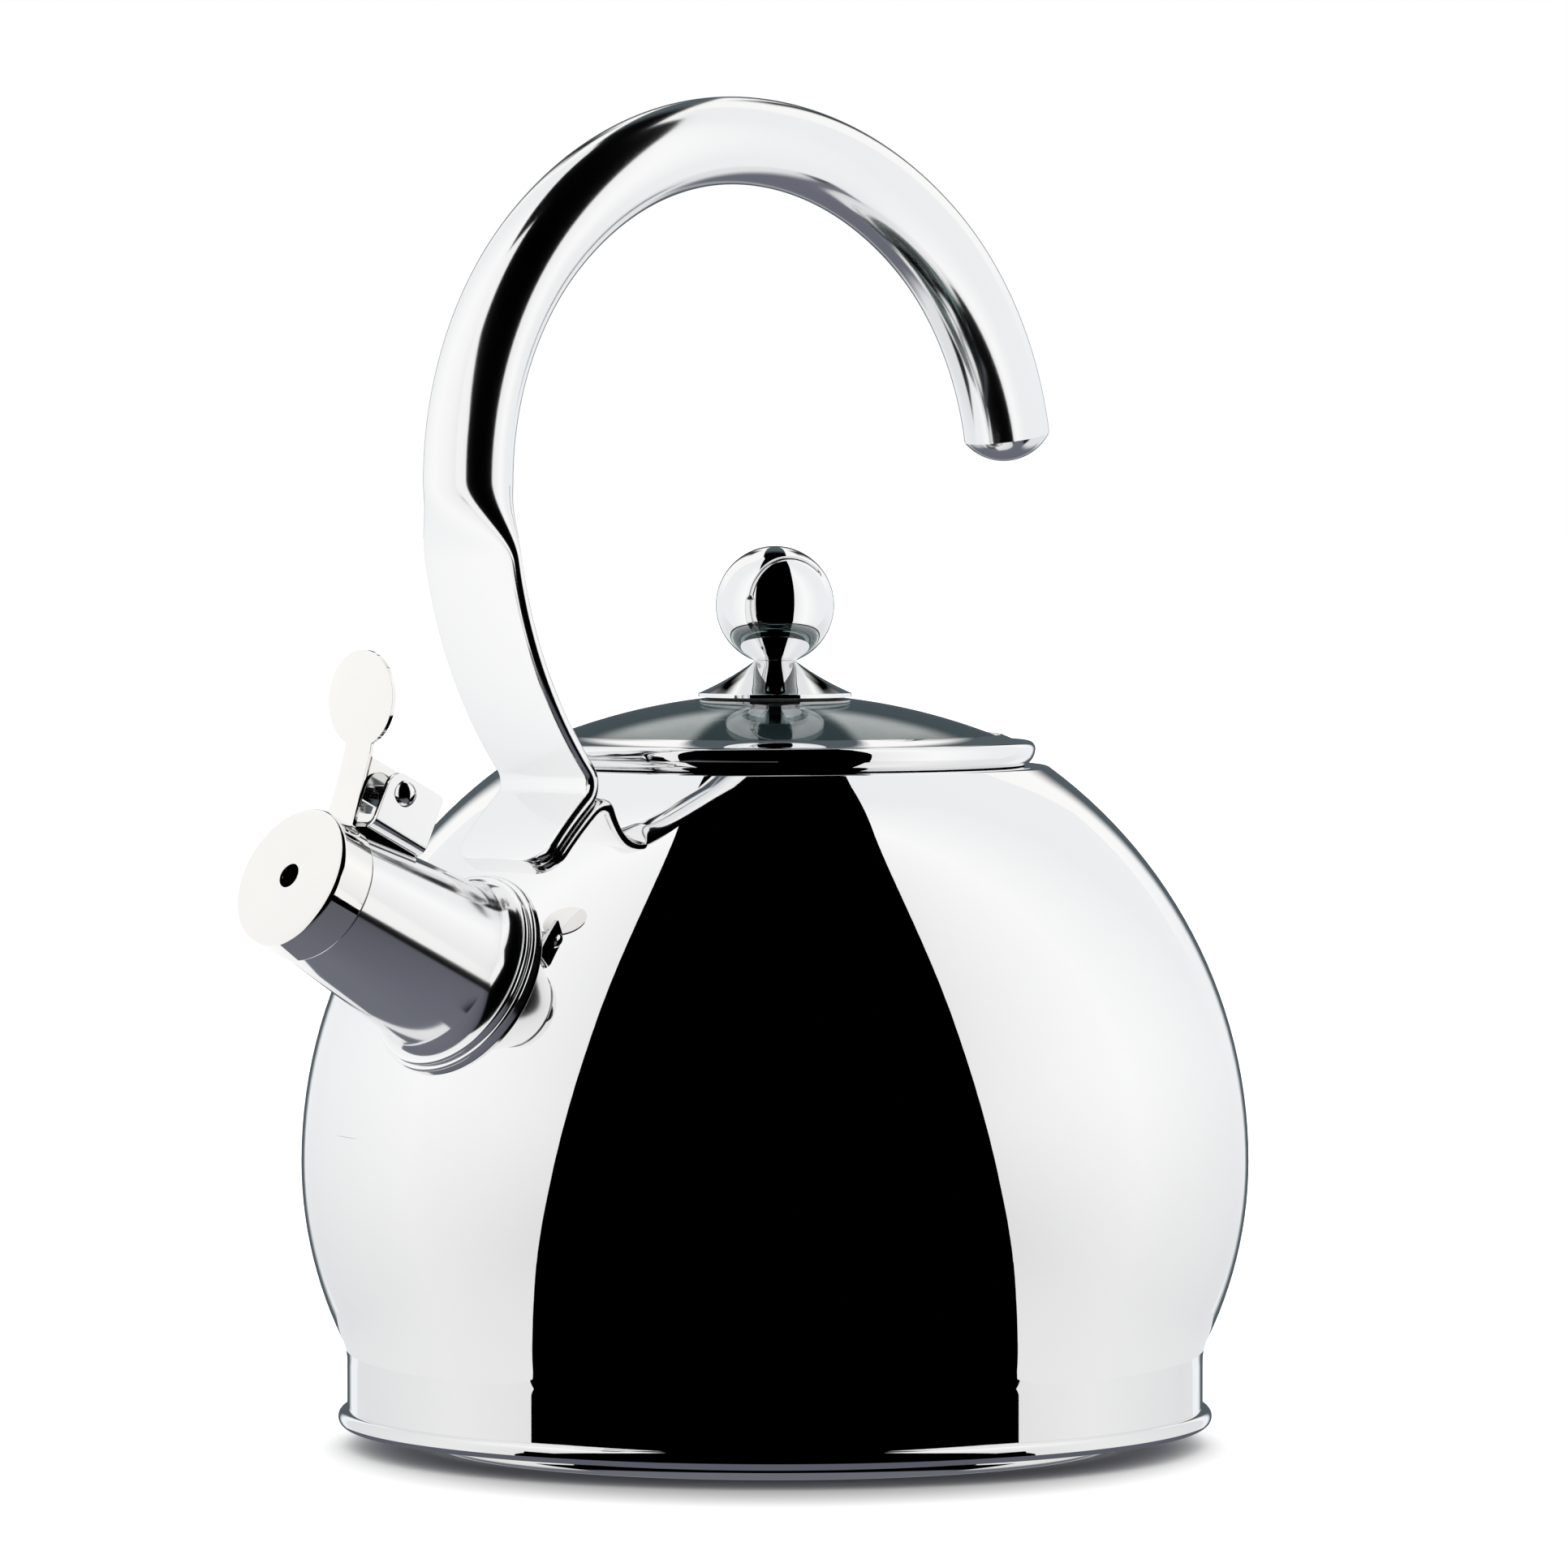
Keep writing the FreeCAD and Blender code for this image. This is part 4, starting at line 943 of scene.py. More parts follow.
def model_whistle_cap(at):
    """Cup over the nose with one hole in its face."""
    whistle = at.whistle
    corner = (whistle.corner, whistle.radius - whistle.corner)
    inside = whistle.radius - whistle.sheet
    edge = whistle.sheet / 4
    cap = turned("whistle_cup", [
        (edge, whistle.hole),
        ((edge, whistle.hole + edge), (0.0, whistle.hole + edge)),
        (0.0, corner[1]),
        (corner, (corner[0], whistle.radius)),
        (whistle.band - edge, whistle.radius),
        ((whistle.band - edge, whistle.radius - edge), (whistle.band, whistle.radius - edge)),
        (whistle.band, inside),
        (whistle.sheet, inside),
        (whistle.sheet, whistle.hole),
    ], axis=ALONG_X, steps=SMALL_TURN_STEPS, fine=BEAD_ARC)
    on_spout(cap, at)
    dress(cap, satin_steel(at.finish), "satin_steel", "whistle", "whistle_cap")


def model_thumb_lever(at):
    """Folded sheet with a strip on the cap, a round head and two ears round the pin."""
    whistle = at.whistle
    half = whistle.lever_width / 2
    foot_place = whistle.band - whistle.lever_inset
    slope = math.tan(whistle.lever_lean)

    def strip_line(height):
        return (foot_place - slope * (height - whistle.radius), height)

    fold = strip_line(at.pin[1] + whistle.neck_rise)
    foot = strip_line(whistle.radius - whistle.sheet * LEVER_WELD)
    up = math.pi / 2 + whistle.head_lean
    head = polar(fold, whistle.head_rise, up)
    joint = polar(fold, whistle.head_rise - math.sqrt(whistle.head_radius ** 2 - half ** 2), up)
    open_angle = math.asin(half / whistle.head_radius)
    across = Vector((0.0, half, 0.0))

    piece = start_outline("thumb_lever_sheet", flat(foot) - across)
    for here, there in ((foot, fold), (fold, joint)):
        draw_line(flat(there) - flat(here))
    bpy.ops.mesh.spin(steps=HEAD_STEPS, angle=math.tau - 2 * open_angle, center=flat(head),
                      axis=flat(polar(FLAT_CENTRE, 1.0, whistle.head_lean)))
    for here, there in ((joint, fold), (fold, foot)):
        draw_line(flat(there) - flat(here))
    level = fold[1] + MERGE_DISTANCE
    select_where(piece, "VERT", lambda middle, vert: middle.z < level)
    bpy.ops.mesh.edge_face_add()
    level = fold[1] - MERGE_DISTANCE
    select_where(piece, "VERT", lambda middle, vert: middle.z > level)
    bpy.ops.mesh.edge_face_add()
    select_where(piece, "EDGE", lambda middle, edge: (
        abs(middle.z - fold[1]) < MERGE_DISTANCE and abs(middle.y) < MERGE_DISTANCE))
    bpy.ops.mesh.bevel(offset=LEVER_FOLD, segments=FOLD_SEGMENTS, affect="EDGES")
    finish_mesh()
    apply_modifier(piece, "SOLIDIFY", thickness=whistle.lever_sheet, offset=0.0)

    low = at.pin[1] - whistle.ear_radius
    high = at.pin[1] + whistle.ear_radius
    ears = []
    for side in (-half, half - whistle.lever_sheet):
        ear = start_outline("lever_ear", flat(strip_line(low)) + Vector((0.0, side, 0.0)))
        draw_outline([
            strip_line(low),
            (at.pin[0], low),
            (at.pin, (at.pin[0] + whistle.ear_radius, at.pin[1])),
            (at.pin, (at.pin[0], high)),
            strip_line(high),
        ], SMALL_ARC)
        bpy.ops.mesh.select_all(action="SELECT")
        bpy.ops.mesh.edge_face_add()
        bpy.ops.mesh.extrude_region_move(
            TRANSFORM_OT_translate={"value": (0.0, whistle.lever_sheet, 0.0)})
        finish_mesh()
        ears.append(ear)
    select_only(piece)
    for ear in ears:
        ear.select_set(True)
    bpy.ops.object.join()
    round_edges(piece, LEVER_EDGE, segments=3)
    on_spout(piece, at)
    dress(piece, satin_steel(at.finish), "satin_steel", "whistle", "thumb_lever")


class KETTLE_OT_whistle(Operator):
    """Model the whistle cap and its thumb lever"""
    bl_idname = "kettle.whistle"
    bl_label = "Whistle"

    def execute(self, context):
        at = find_places(context.scene.kettle)
        model_whistle_cap(at)
        model_thumb_lever(at)
        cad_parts["whistle_plate"].data.materials[0] = satin_steel(at.finish)
        return {"FINISHED"}


# Handle


def crown_radii(span, drop, turn):
    """Radii, top first, of two equal turns that run from level through a span and a drop."""
    half = turn / 2
    top_span = math.sin(half)
    side_span = math.sin(turn) - math.sin(half)
    top_drop = 1 - math.cos(half)
    side_drop = math.cos(half) - math.cos(turn)
    scale = top_span * side_drop - side_span * top_drop
    return (span * side_drop - drop * side_span) / scale, (drop * top_span - span * top_drop) / scale


def hook_arcs(at):
    """The hook's four arcs from strap to free end, as (centre, radius, start angle, end angle)."""
    handle = at.handle
    quarter = math.pi / 2
    front_top, front_side = crown_radii(handle.front_span, handle.front_drop, quarter)
    back_top, back_side = crown_radii(handle.back_span, handle.back_drop, handle.back_turn)
    front_centre = (at.crown[0], at.hook_top - front_top)
    back_centre = (at.crown[0], at.hook_top - back_top)
    front_joint = quarter + quarter / 2
    back_joint = quarter - handle.back_turn / 2
    front_meet = polar(front_centre, front_top, front_joint)
    back_meet = polar(back_centre, back_top, back_joint)
    return [
        (polar(front_meet, -front_side, front_joint), front_side, math.pi, front_joint),
        (front_centre, front_top, front_joint, quarter),
        (back_centre, back_top, quarter, back_joint),
        (polar(back_meet, -back_side, back_joint), back_side, back_joint, quarter - handle.back_turn),
    ]


def bend_centre(at):
    """Centre of the bend between strap and foot, which touches the strap's arc and the foot's arc."""
    handle = at.handle
    strap_reach = handle.strap_arc + handle.foot_bend
    foot_reach = at.foot_arc + handle.foot_bend
    apart = math.dist(at.strap_centre, at.foot_centre)
    along = (strap_reach ** 2 - foot_reach ** 2 + apart ** 2) / (2 * apart)
    aside = math.sqrt(strap_reach ** 2 - along ** 2)
    across = (at.foot_centre[0] - at.strap_centre[0]) / apart
    up = (at.foot_centre[1] - at.strap_centre[1]) / apart
    return (at.strap_centre[0] + across * along + up * aside,
            at.strap_centre[1] + up * along - across * aside)


def oval_point(around, half_width, half_thick):
    """Point at an angle round an oval of four arcs, as its distances across and out."""
    quarter = math.pi / 4
    joint = quarter * (half_thick / half_width) ** OVAL_POWER
    scale = math.sin(joint) + math.cos(joint) - 1
    edge = (half_thick * math.sin(joint) - half_width * (1 - math.cos(joint))) / scale
    broad = (half_width - edge + edge * math.sin(joint)) / math.sin(joint)
    side = math.copysign(1.0, math.cos(around))
    face = math.copysign(1.0, math.sin(around))
    rise = math.asin(min(1.0, abs(math.sin(around))))
    if rise <= quarter:
        turn = rise * (math.pi / 2 - joint) / quarter
        return (side * (half_width - edge + edge * math.cos(turn)), face * edge * math.sin(turn))
    turn = (math.pi / 2 - rise) * joint / quarter
    return (side * broad * math.sin(turn), face * (half_thick - broad + broad * math.cos(turn)))


def shape_ring(piece, place, lean, half_width, half_thick):
    """Lay the selected ring on an oval section at a place, with its thickness along a lean."""
    mesh = bmesh.from_edit_mesh(piece.data)
    around = mesh.verts.layers.float["around"]
    for vert in mesh.verts:
        if vert.select:
            across, out = oval_point(vert[around], half_width, half_thick)
            vert.co = flat(polar(place, out, lean)) + Vector((0.0, across, 0.0))
    bmesh.update_edit_mesh(piece.data)


def spin_ring(centre, turn, fine):
    """Sweep the selected ring about a centre of the XZ plane."""
    bpy.ops.mesh.spin(steps=math.ceil(abs(turn) / fine), angle=turn, center=flat(centre), axis=ALONG_Y)


def next_ring():
    """Extrude the selected ring in place, ready to be shaped."""
    bpy.ops.mesh.extrude_edges_move(TRANSFORM_OT_translate={"value": CENTRE})


def rest_on_body(piece, at):
    """Lift what would lie inside the shell's shoulder out to its surface."""
    skin = at.body.upper_arc - FOOT_WELD
    mesh = bmesh.from_edit_mesh(piece.data)
    for vert in mesh.verts:
        spot = (math.hypot(vert.co.x, vert.co.y), vert.co.z)
        if math.dist(spot, at.upper_centre) < skin:
            lifted = towards(at.upper_centre, spot, skin)
            vert.co.x *= lifted[0] / spot[0]
            vert.co.y *= lifted[0] / spot[0]
            vert.co.z = lifted[1]
    bmesh.update_edit_mesh(piece.data)


def model_handle_tube(at):
    """Tube bent to a hook, pressed flat below into a strap that ends in a welded foot."""
    handle = at.handle
    start = (at.hook_front, at.strap_centre[1])
    clear_selection()
    bpy.ops.mesh.primitive_circle_add(
        vertices=RING_STEPS, radius=handle.radius, location=CENTRE, enter_editmode=True)
    piece = name_piece("hook_handle")
    mesh = bmesh.from_edit_mesh(piece.data)
    around = mesh.verts.layers.float.new("around")
    for vert in mesh.verts:
        vert[around] = math.atan2(-vert.co.x, vert.co.y)
    bmesh.update_edit_mesh(piece.data)
    bpy.ops.transform.translate(value=flat(start))
    for centre, _, first, last in hook_arcs(at):
        spin_ring(centre, last - first, HOOK_ARC)
    bpy.ops.mesh.edge_face_add()

    select_where(piece, "EDGE", lambda middle, edge: (
        edge.is_boundary and abs(middle.z - start[1]) < MERGE_DISTANCE))
    half_width = handle.strap_width / 2
    half_thick = handle.strap_thick / 2
    for step in range(1, FLATTEN_RINGS + 1):
        part = step / FLATTEN_RINGS
        ease = part * part * (3 - 2 * part)
        turn = math.pi + handle.flatten_turn * part
        next_ring()
        shape_ring(piece, polar(at.strap_centre, handle.strap_arc, turn), turn,
                   handle.radius + (half_width - handle.radius) * ease,
                   handle.radius + (half_thick - handle.radius) * ease)
    bend = bend_centre(at)
    bend_start = heading(bend, at.strap_centre)
    bend_end = heading(bend, at.foot_centre)
    spin_ring(at.strap_centre, bend_start - handle.flatten_turn, HOOK_ARC)
    spin_ring(bend, bend_end - bend_start, SMALL_ARC)
    corner_turn = handle.foot_corner / at.foot_arc
    spin_ring(at.foot_centre, at.foot_end - corner_turn - bend_end - math.pi, BROAD_ARC)
    for step in range(1, CORNER_RINGS + 1):
        part = math.sin(step / CORNER_RINGS * math.pi / 2)
        turn = at.foot_end - corner_turn * (1 - part)
        inset = handle.foot_corner * (1 - math.sqrt(1 - part ** 2))
        next_ring()
        shape_ring(piece, polar(at.foot_centre, at.foot_arc, turn), turn,
                   half_width - inset, half_thick)
    bpy.ops.mesh.edge_face_add()
    rest_on_body(piece, at)
    finish_mesh()
    piece.data.attributes.remove(piece.data.attributes["around"])
    dress(piece, buffed_steel(at.finish), "polished_steel", "kettle", "handle_tube",
          sharp=HANDLE_SHARP_ANGLE)


def model_handle_tip(at):
    """Domed plug that closes the hook's free end."""
    handle = at.handle
    centre, reach, _, last = hook_arcs(at)[-1]
    dome = (handle.radius ** 2 + handle.tip_rise ** 2) / (2 * handle.tip_rise)
    plug_radius = handle.radius * PLUG_SHARE
    plug = turned("handle_plug", [
        (-handle.tip_rise, 0.0),
        (-handle.tip_rise, plug_radius),
        (0.0, plug_radius),
        (0.0, handle.radius),
        ((handle.tip_rise - dome, 0.0), (handle.tip_rise, 0.0)),
    ], axis=ALONG_X, steps=RING_STEPS)
    set_in_place(plug, flat(polar(centre, reach, last)), (0.0, handle.back_turn, 0.0))
    dress(plug, buffed_steel(at.finish), "polished_steel", "kettle", "handle_tip")


class KETTLE_OT_handle(Operator):
    """Model the hook handle, its flat foot and the plug in its free end"""
    bl_idname = "kettle.handle"
    bl_label = "Handle"

    def execute(self, context):
        at = find_places(context.scene.kettle)
        model_handle_tube(at)
        model_handle_tip(at)
        return {"FINISHED"}


# Lid and knob


def dome_height(at, radius, depth):
    """Height at a radius of the dome, or of the surface a depth below it or, negative, above it."""
    return at.dome + math.sqrt((at.lid.glass_arc - depth) ** 2 - radius ** 2)


def model_lid_glass(at):
    """Domed glass with a hole for the knob's screw."""
    lid = at.lid
    dome_centre = (0.0, at.dome)
    hole = at.knob.screw + SCREW_ROOM
    thick = lid.glass_thick
    glass = turned("lid_dome", [
        (hole, dome_height(at, hole, 0.0)),
        (dome_centre, (at.glass, dome_height(at, at.glass, 0.0))),
        (at.glass, dome_height(at, at.glass, thick)),
        (dome_centre, (hole, dome_height(at, hole, thick))),
    ], fine=BROAD_ARC)
    dress(glass, tinted_glass(at.finish), "tinted_glass", "lid", "lid_glass")


def model_lid_rim(at):
    """Rolled steel edge with a lip on the glass and a plug that drops into the mouth."""
    lid = at.lid
    lip = at.glass - lid.lip
    lip_height = dome_height(at, lip, 0.0)
    shoulder = dome_height(at, at.glass_side, 0.0)
    foot = at.mouth + lid.foot
    widest = foot + lid.flare
    round_centre = (widest - lid.rounding, at.ledge + lid.widest)
    side_arc = (lid.flare ** 2 + lid.widest ** 2) / (2 * lid.flare)
    plug_foot = at.ledge - lid.plug_depth
    rim = turned("lid_steel_rim", [
        (lip, lip_height + lid.sheet),
        (at.glass_side, shoulder + lid.sheet),
        (round_centre[0], round_centre[1] + lid.rounding),
        (round_centre, (widest, round_centre[1])),
        ((widest - side_arc, round_centre[1]), (foot, at.ledge)),
        (at.plug, at.ledge),
        (at.plug, plug_foot),
        (at.plug - lid.sheet, plug_foot),
        (at.plug - lid.sheet, at.lid_seat),
        (at.glass_side, at.lid_seat),
        (at.glass_side, shoulder),
        (lip, lip_height),
    ], fine=SMALL_ARC)
    dress(rim, polished_steel(at.finish), "polished_steel", "lid", "lid_rim")


def model_knob_ball(at):
    """Polished ball, flat where it meets the skirt."""
    knob = at.knob
    ball = turned("knob_polished_ball", [
        (0.0, at.knob_seat),
        (knob.neck, at.knob_seat),
        ((0.0, at.ball), (0.0, at.ball + knob.radius)),
    ], steps=SMALL_TURN_STEPS, fine=CLOSE_ARC)
    dress(ball, polished_steel(at.finish), "polished_steel", "lid", "knob_ball")


def model_knob_skirt(at):
    """Flared ferrule between ball and glass."""
    knob = at.knob
    foot = dome_height(at, knob.skirt_radius, -knob.skirt_gap)
    neck = (knob.neck, at.knob_seat)
    edge = knob.skirt_edge / 3
    flange = (knob.skirt_radius - edge, foot + knob.skirt_edge)
    skirt = turned("knob_flared_skirt", [
        (knob.screw, at.knob_seat),
        neck,
        (arc_centre(neck, flange, knob.skirt_curve), flange),
        ((flange[0], flange[1] - edge), (knob.skirt_radius, flange[1] - edge)),
        (knob.skirt_radius, foot),
        ((0.0, at.dome), (knob.skirt_seat, dome_height(at, knob.skirt_seat, -knob.skirt_gap))),
        (knob.screw, at.knob_seat - knob.skirt_sheet),
    ], steps=SMALL_TURN_STEPS, fine=CLOSE_ARC)
    dress(skirt, polished_steel(at.finish), "polished_steel", "lid", "knob_skirt")


class KETTLE_OT_lid(Operator):
    """Model the glass, its steel rim and the ball knob"""
    bl_idname = "kettle.lid"
    bl_label = "Lid and Knob"

    def execute(self, context):
        at = find_places(context.scene.kettle)
        model_lid_glass(at)
        model_lid_rim(at)
        model_knob_ball(at)
        model_knob_skirt(at)
        for node in ("lid_gasket", "knob_gasket", "knob_washer"):
            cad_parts[node].data.materials[0] = grey_silicone(at.finish)
        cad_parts["knob_screw"].data.materials[0] = satin_steel(at.finish)
        return {"FINISHED"}


# Stage

# The camera, as a turn from straight in front, and where it looks
CAMERA_TURN = math.radians(43.5)
CAMERA_FRONT = (-math.sin(CAMERA_TURN), -math.cos(CAMERA_TURN), 0.0)
CAMERA_RIGHT = (math.cos(CAMERA_TURN), -math.sin(CAMERA_TURN), 0.0)
CAMERA_DISTANCE = 1.914
CAMERA_HEIGHT = 0.205
CAMERA_AIM = (0.00138, -0.00131, 0.1394)
CAMERA_LENS = 208.3
SENSOR = 36.0

# The floor and the shadow painted on it, whose edge is given as shares of an oval round the base
FLOOR_SIZE = 40.0
SHADE_DARK = 0.45
SHADE_DEEP = 0.115
SHADE_WIDE = 0.098
SHADE_AHEAD = 0.17
SHADE_EDGE = (0.6, 1.1)

# Colours of the room, and the degrees between which one part of it fades into the next
WHITE = (1.0, 1.0, 1.0)
DARK_ROOM = (0.0, 0.0, 0.0)
BACK_LOW = (0.82, 0.83, 0.84)
BACK_LEVEL = (0.92, 0.945, 0.965)
BACK_HIGH = (1.04, 1.035, 1.02)
BACK_GAP = (0.09, 0.112, 0.125)
SLATE = (0.15, 0.155, 0.19)
PALE_BACK = (103, 107)
GAP_SIDE = (13, 20)
GAP_TOP = (33, 41)
GAP_BOTTOM = (-28, -16)
NARROW_SIDE = (7, 12)
NARROW_TOP = (20, 28)
LOW_TO_LEVEL = (-25, -3)
LEVEL_TO_HIGH = (3, 20)
BLACK_TOP = (14, 22)
SLATE_BACK = (122, 138)
SLATE_LOW = (-108, -96)
SLATE_TOP = (-30, -18)
SLATE_SIDE = (22, 34)
SLATE_FLOOR = (-60, -56)

# The dark slot behind: half its width where it would reach level in front, how that changes with the
# angle over the kettle, and the blur of its sides and of the level where it ends, all in radians
SLOT_EDGE = math.radians(41)
SLOT_SLOPE = -0.25
SLOT_BLUR = (-0.01, 0.01)
LEVEL_BLUR = (-0.05, 0.05)

# The cards. Upright outlines are in front of the axis and up, level ones in front and aside, and the
# hook's card, which faces the camera, aside and up. Glows are colours at distances in front of it.
LEVEL_TILT = (-math.pi / 2, 0.0, 0.0)
FACING_TILT = (0.0, 0.0, math.pi / 2)
CARD_ASIDE = 0.11
CARD_BEHIND = 0.1108
CARD_OUTLINE = [
    (-0.02, -0.05), (0.077, -0.05), (0.1, 0.0), (0.1, 0.0185), (0.1189, 0.0185),
    ((-0.1713, 0.15), (0.1475, 0.15)), ((-0.314, 0.15), (0.068, 0.409)),
    (-0.13, 0.67), (-0.2, 0.67), (-0.07, 0.4), (-0.07, 0.18), (-0.02, 0.12),
]
WHITE_CARD = [
    (-0.1, (0.99, 1.0, 1.01)), (0.0, (0.99, 1.0, 1.01)),
    (0.06, (1.12, 1.12, 1.115)), (0.15, (0.955, 0.955, 0.955)),
]
WHITE_FRONT = [(0.0, (1.0, 0.995, 0.985)), (0.3, (1.0, 0.995, 0.985))]
CARD_LOW = 0.81
CARD_HIGH = 0.945
CARD_BRIGHT = 0.1
SHELF_HEIGHT = 0.0185
SHELF_OUTLINE = [
    (0.0775, 0.0532), (0.079, 0.0555), (0.0813, 0.0588),
    (0.0863, 0.0655), (0.0974, 0.0805), (0.1189, 0.1102),
    (-0.03, 0.1102), (-0.03, 0.0875), (FLAT_CENTRE, (0.0595, 0.0708)),
]
TABLE_HEIGHT = 0.068
TABLE_HOLE = 0.102
TABLE_START = -1.2
TABLE_OUTLINE = [
    polar(FLAT_CENTRE, TABLE_HOLE, TABLE_START), (FLAT_CENTRE, (TABLE_HOLE, 0.0)),
    (0.17, 0.004), (0.17, -0.109), (0.037, -0.109),
]
SLATE_TABLE = [
    (0.03, (0.16, 0.168, 0.2)), (0.09, (0.145, 0.15, 0.185)),
    (0.13, (0.11, 0.11, 0.135)), (0.17, (0.06, 0.06, 0.07)),
]
RING_INSIDE = 0.078
RING_OUTSIDE = 0.0968
RING_HEIGHT = 0.0001
RING_OUTLINE = [
    (0.0, -RING_INSIDE), (FLAT_CENTRE, (RING_INSIDE, 0.0)), (FLAT_CENTRE, (0.0, RING_INSIDE)),
    (0.0, RING_OUTSIDE), (FLAT_CENTRE, (RING_OUTSIDE, 0.0)), (FLAT_CENTRE, (0.0, -RING_OUTSIDE)),
]
SLATE_RING = [(0.0, (0.11, 0.115, 0.145)), (0.1, (0.11, 0.115, 0.145))]
HOOK_CARD_AHEAD = 0.25
HOOK_CARD = [(-0.07, 0.13), (-0.078, 0.262), (-0.137, 0.389), (-0.165, 1.0), (-0.6, 1.0), (-0.6, 0.13)]
SPOUT_CARD = [(0.14, 0.03), (0.155, 0.043), (0.185, 0.05), (0.26, 0.056), (0.26, 0.2), (0.13, 0.2)]


class Graph:
    """Short way to chain plain nodes in a node tree."""

    def __init__(self, tree):
        self.tree = tree

    def link(self, value, socket):
        """Set a number or a colour on a socket, or lead another node's output to it."""
        if isinstance(value, (int, float)):
            socket.default_value = value
        elif isinstance(value, tuple):
            socket.default_value = (*value, 1.0)
        else:
            self.tree.links.new(value, socket)

    def math(self, operation, *values):
        node = self.tree.nodes.new("ShaderNodeMath")
        node.operation = operation
        for value, socket in zip(values, node.inputs):
            self.link(value, socket)
        return node.outputs["Value"]

    def rest(self, value):
        """What a value leaves of 1."""
        return self.math("SUBTRACT", 1.0, value)

    def along(self, vector, direction):
        """Share of a vector along a direction."""
        node = self.tree.nodes.new("ShaderNodeVectorMath")
        node.operation = "DOT_PRODUCT"
        self.link(vector, node.inputs[0])
        node.inputs[1].default_value = direction
        return node.outputs["Value"]

    def step(self, value, low, high):
        """Smooth step from 0 at low to 1 at high."""
        node = self.tree.nodes.new("ShaderNodeMapRange")
        node.interpolation_type = "SMOOTHSTEP"
        self.link(value, node.inputs["Value"])
        self.link(low, node.inputs["From Min"])
        self.link(high, node.inputs["From Max"])
        return node.outputs["Result"]

    def fade(self, turn, degrees):
        """Smooth step of an angle between two numbers of degrees."""
        return self.step(turn, *map(math.radians, degrees))

    def blend(self, factor, first, second):
        """Mix of two colours."""
        node = self.tree.nodes.new("ShaderNodeMix")
        node.data_type = "RGBA"
        self.link(factor, node.inputs["Factor"])
        shades = [socket for socket in node.inputs if socket.type == "RGBA"]
        self.link(first, shades[0])
        self.link(second, shades[1])
        return next(socket for socket in node.outputs if socket.type == "RGBA")


def floor_with_painted_shadow(finish):
    """Pale floor with hardly visible mottling, and a painted shadow that darkens its colour close under
    the kettle.
    """
    material, tree = start_material("floor_with_painted_shadow")
    if tree:
        floor = tree.nodes["Principled BSDF"].inputs
        floor["Specular IOR Level"].default_value = 0.0
        graph = Graph(tree)
        place = tree.nodes.new("ShaderNodeTexCoord").outputs["Object"]
        # Painted shadow: the floor's colour turns darker inside an oval round the base, standing for
        # the kettle's cast shadow
        front = graph.along(place, CAMERA_FRONT)
        front = graph.math("MULTIPLY_ADD", front, 1 / SHADE_DEEP, -SHADE_AHEAD)
        aside = graph.math("DIVIDE", graph.along(place, CAMERA_RIGHT), SHADE_WIDE)
        square = graph.math("MULTIPLY_ADD", aside, aside, graph.math("MULTIPLY", front, front))
        close = graph.step(graph.math("SQRT", square), *SHADE_EDGE)
        mottle = add_noise(tree, **FLOOR_MOTTLE)
        pale = add_shades(tree, mottle, finish.floor, darkest=0.99)
        tree.links.new(graph.blend(close, scaled(finish.floor, SHADE_DARK), pale), floor["Base Color"])
        tree.links.new(add_range(tree, mottle, 0.8, 0.9), floor["Roughness"])
    return material


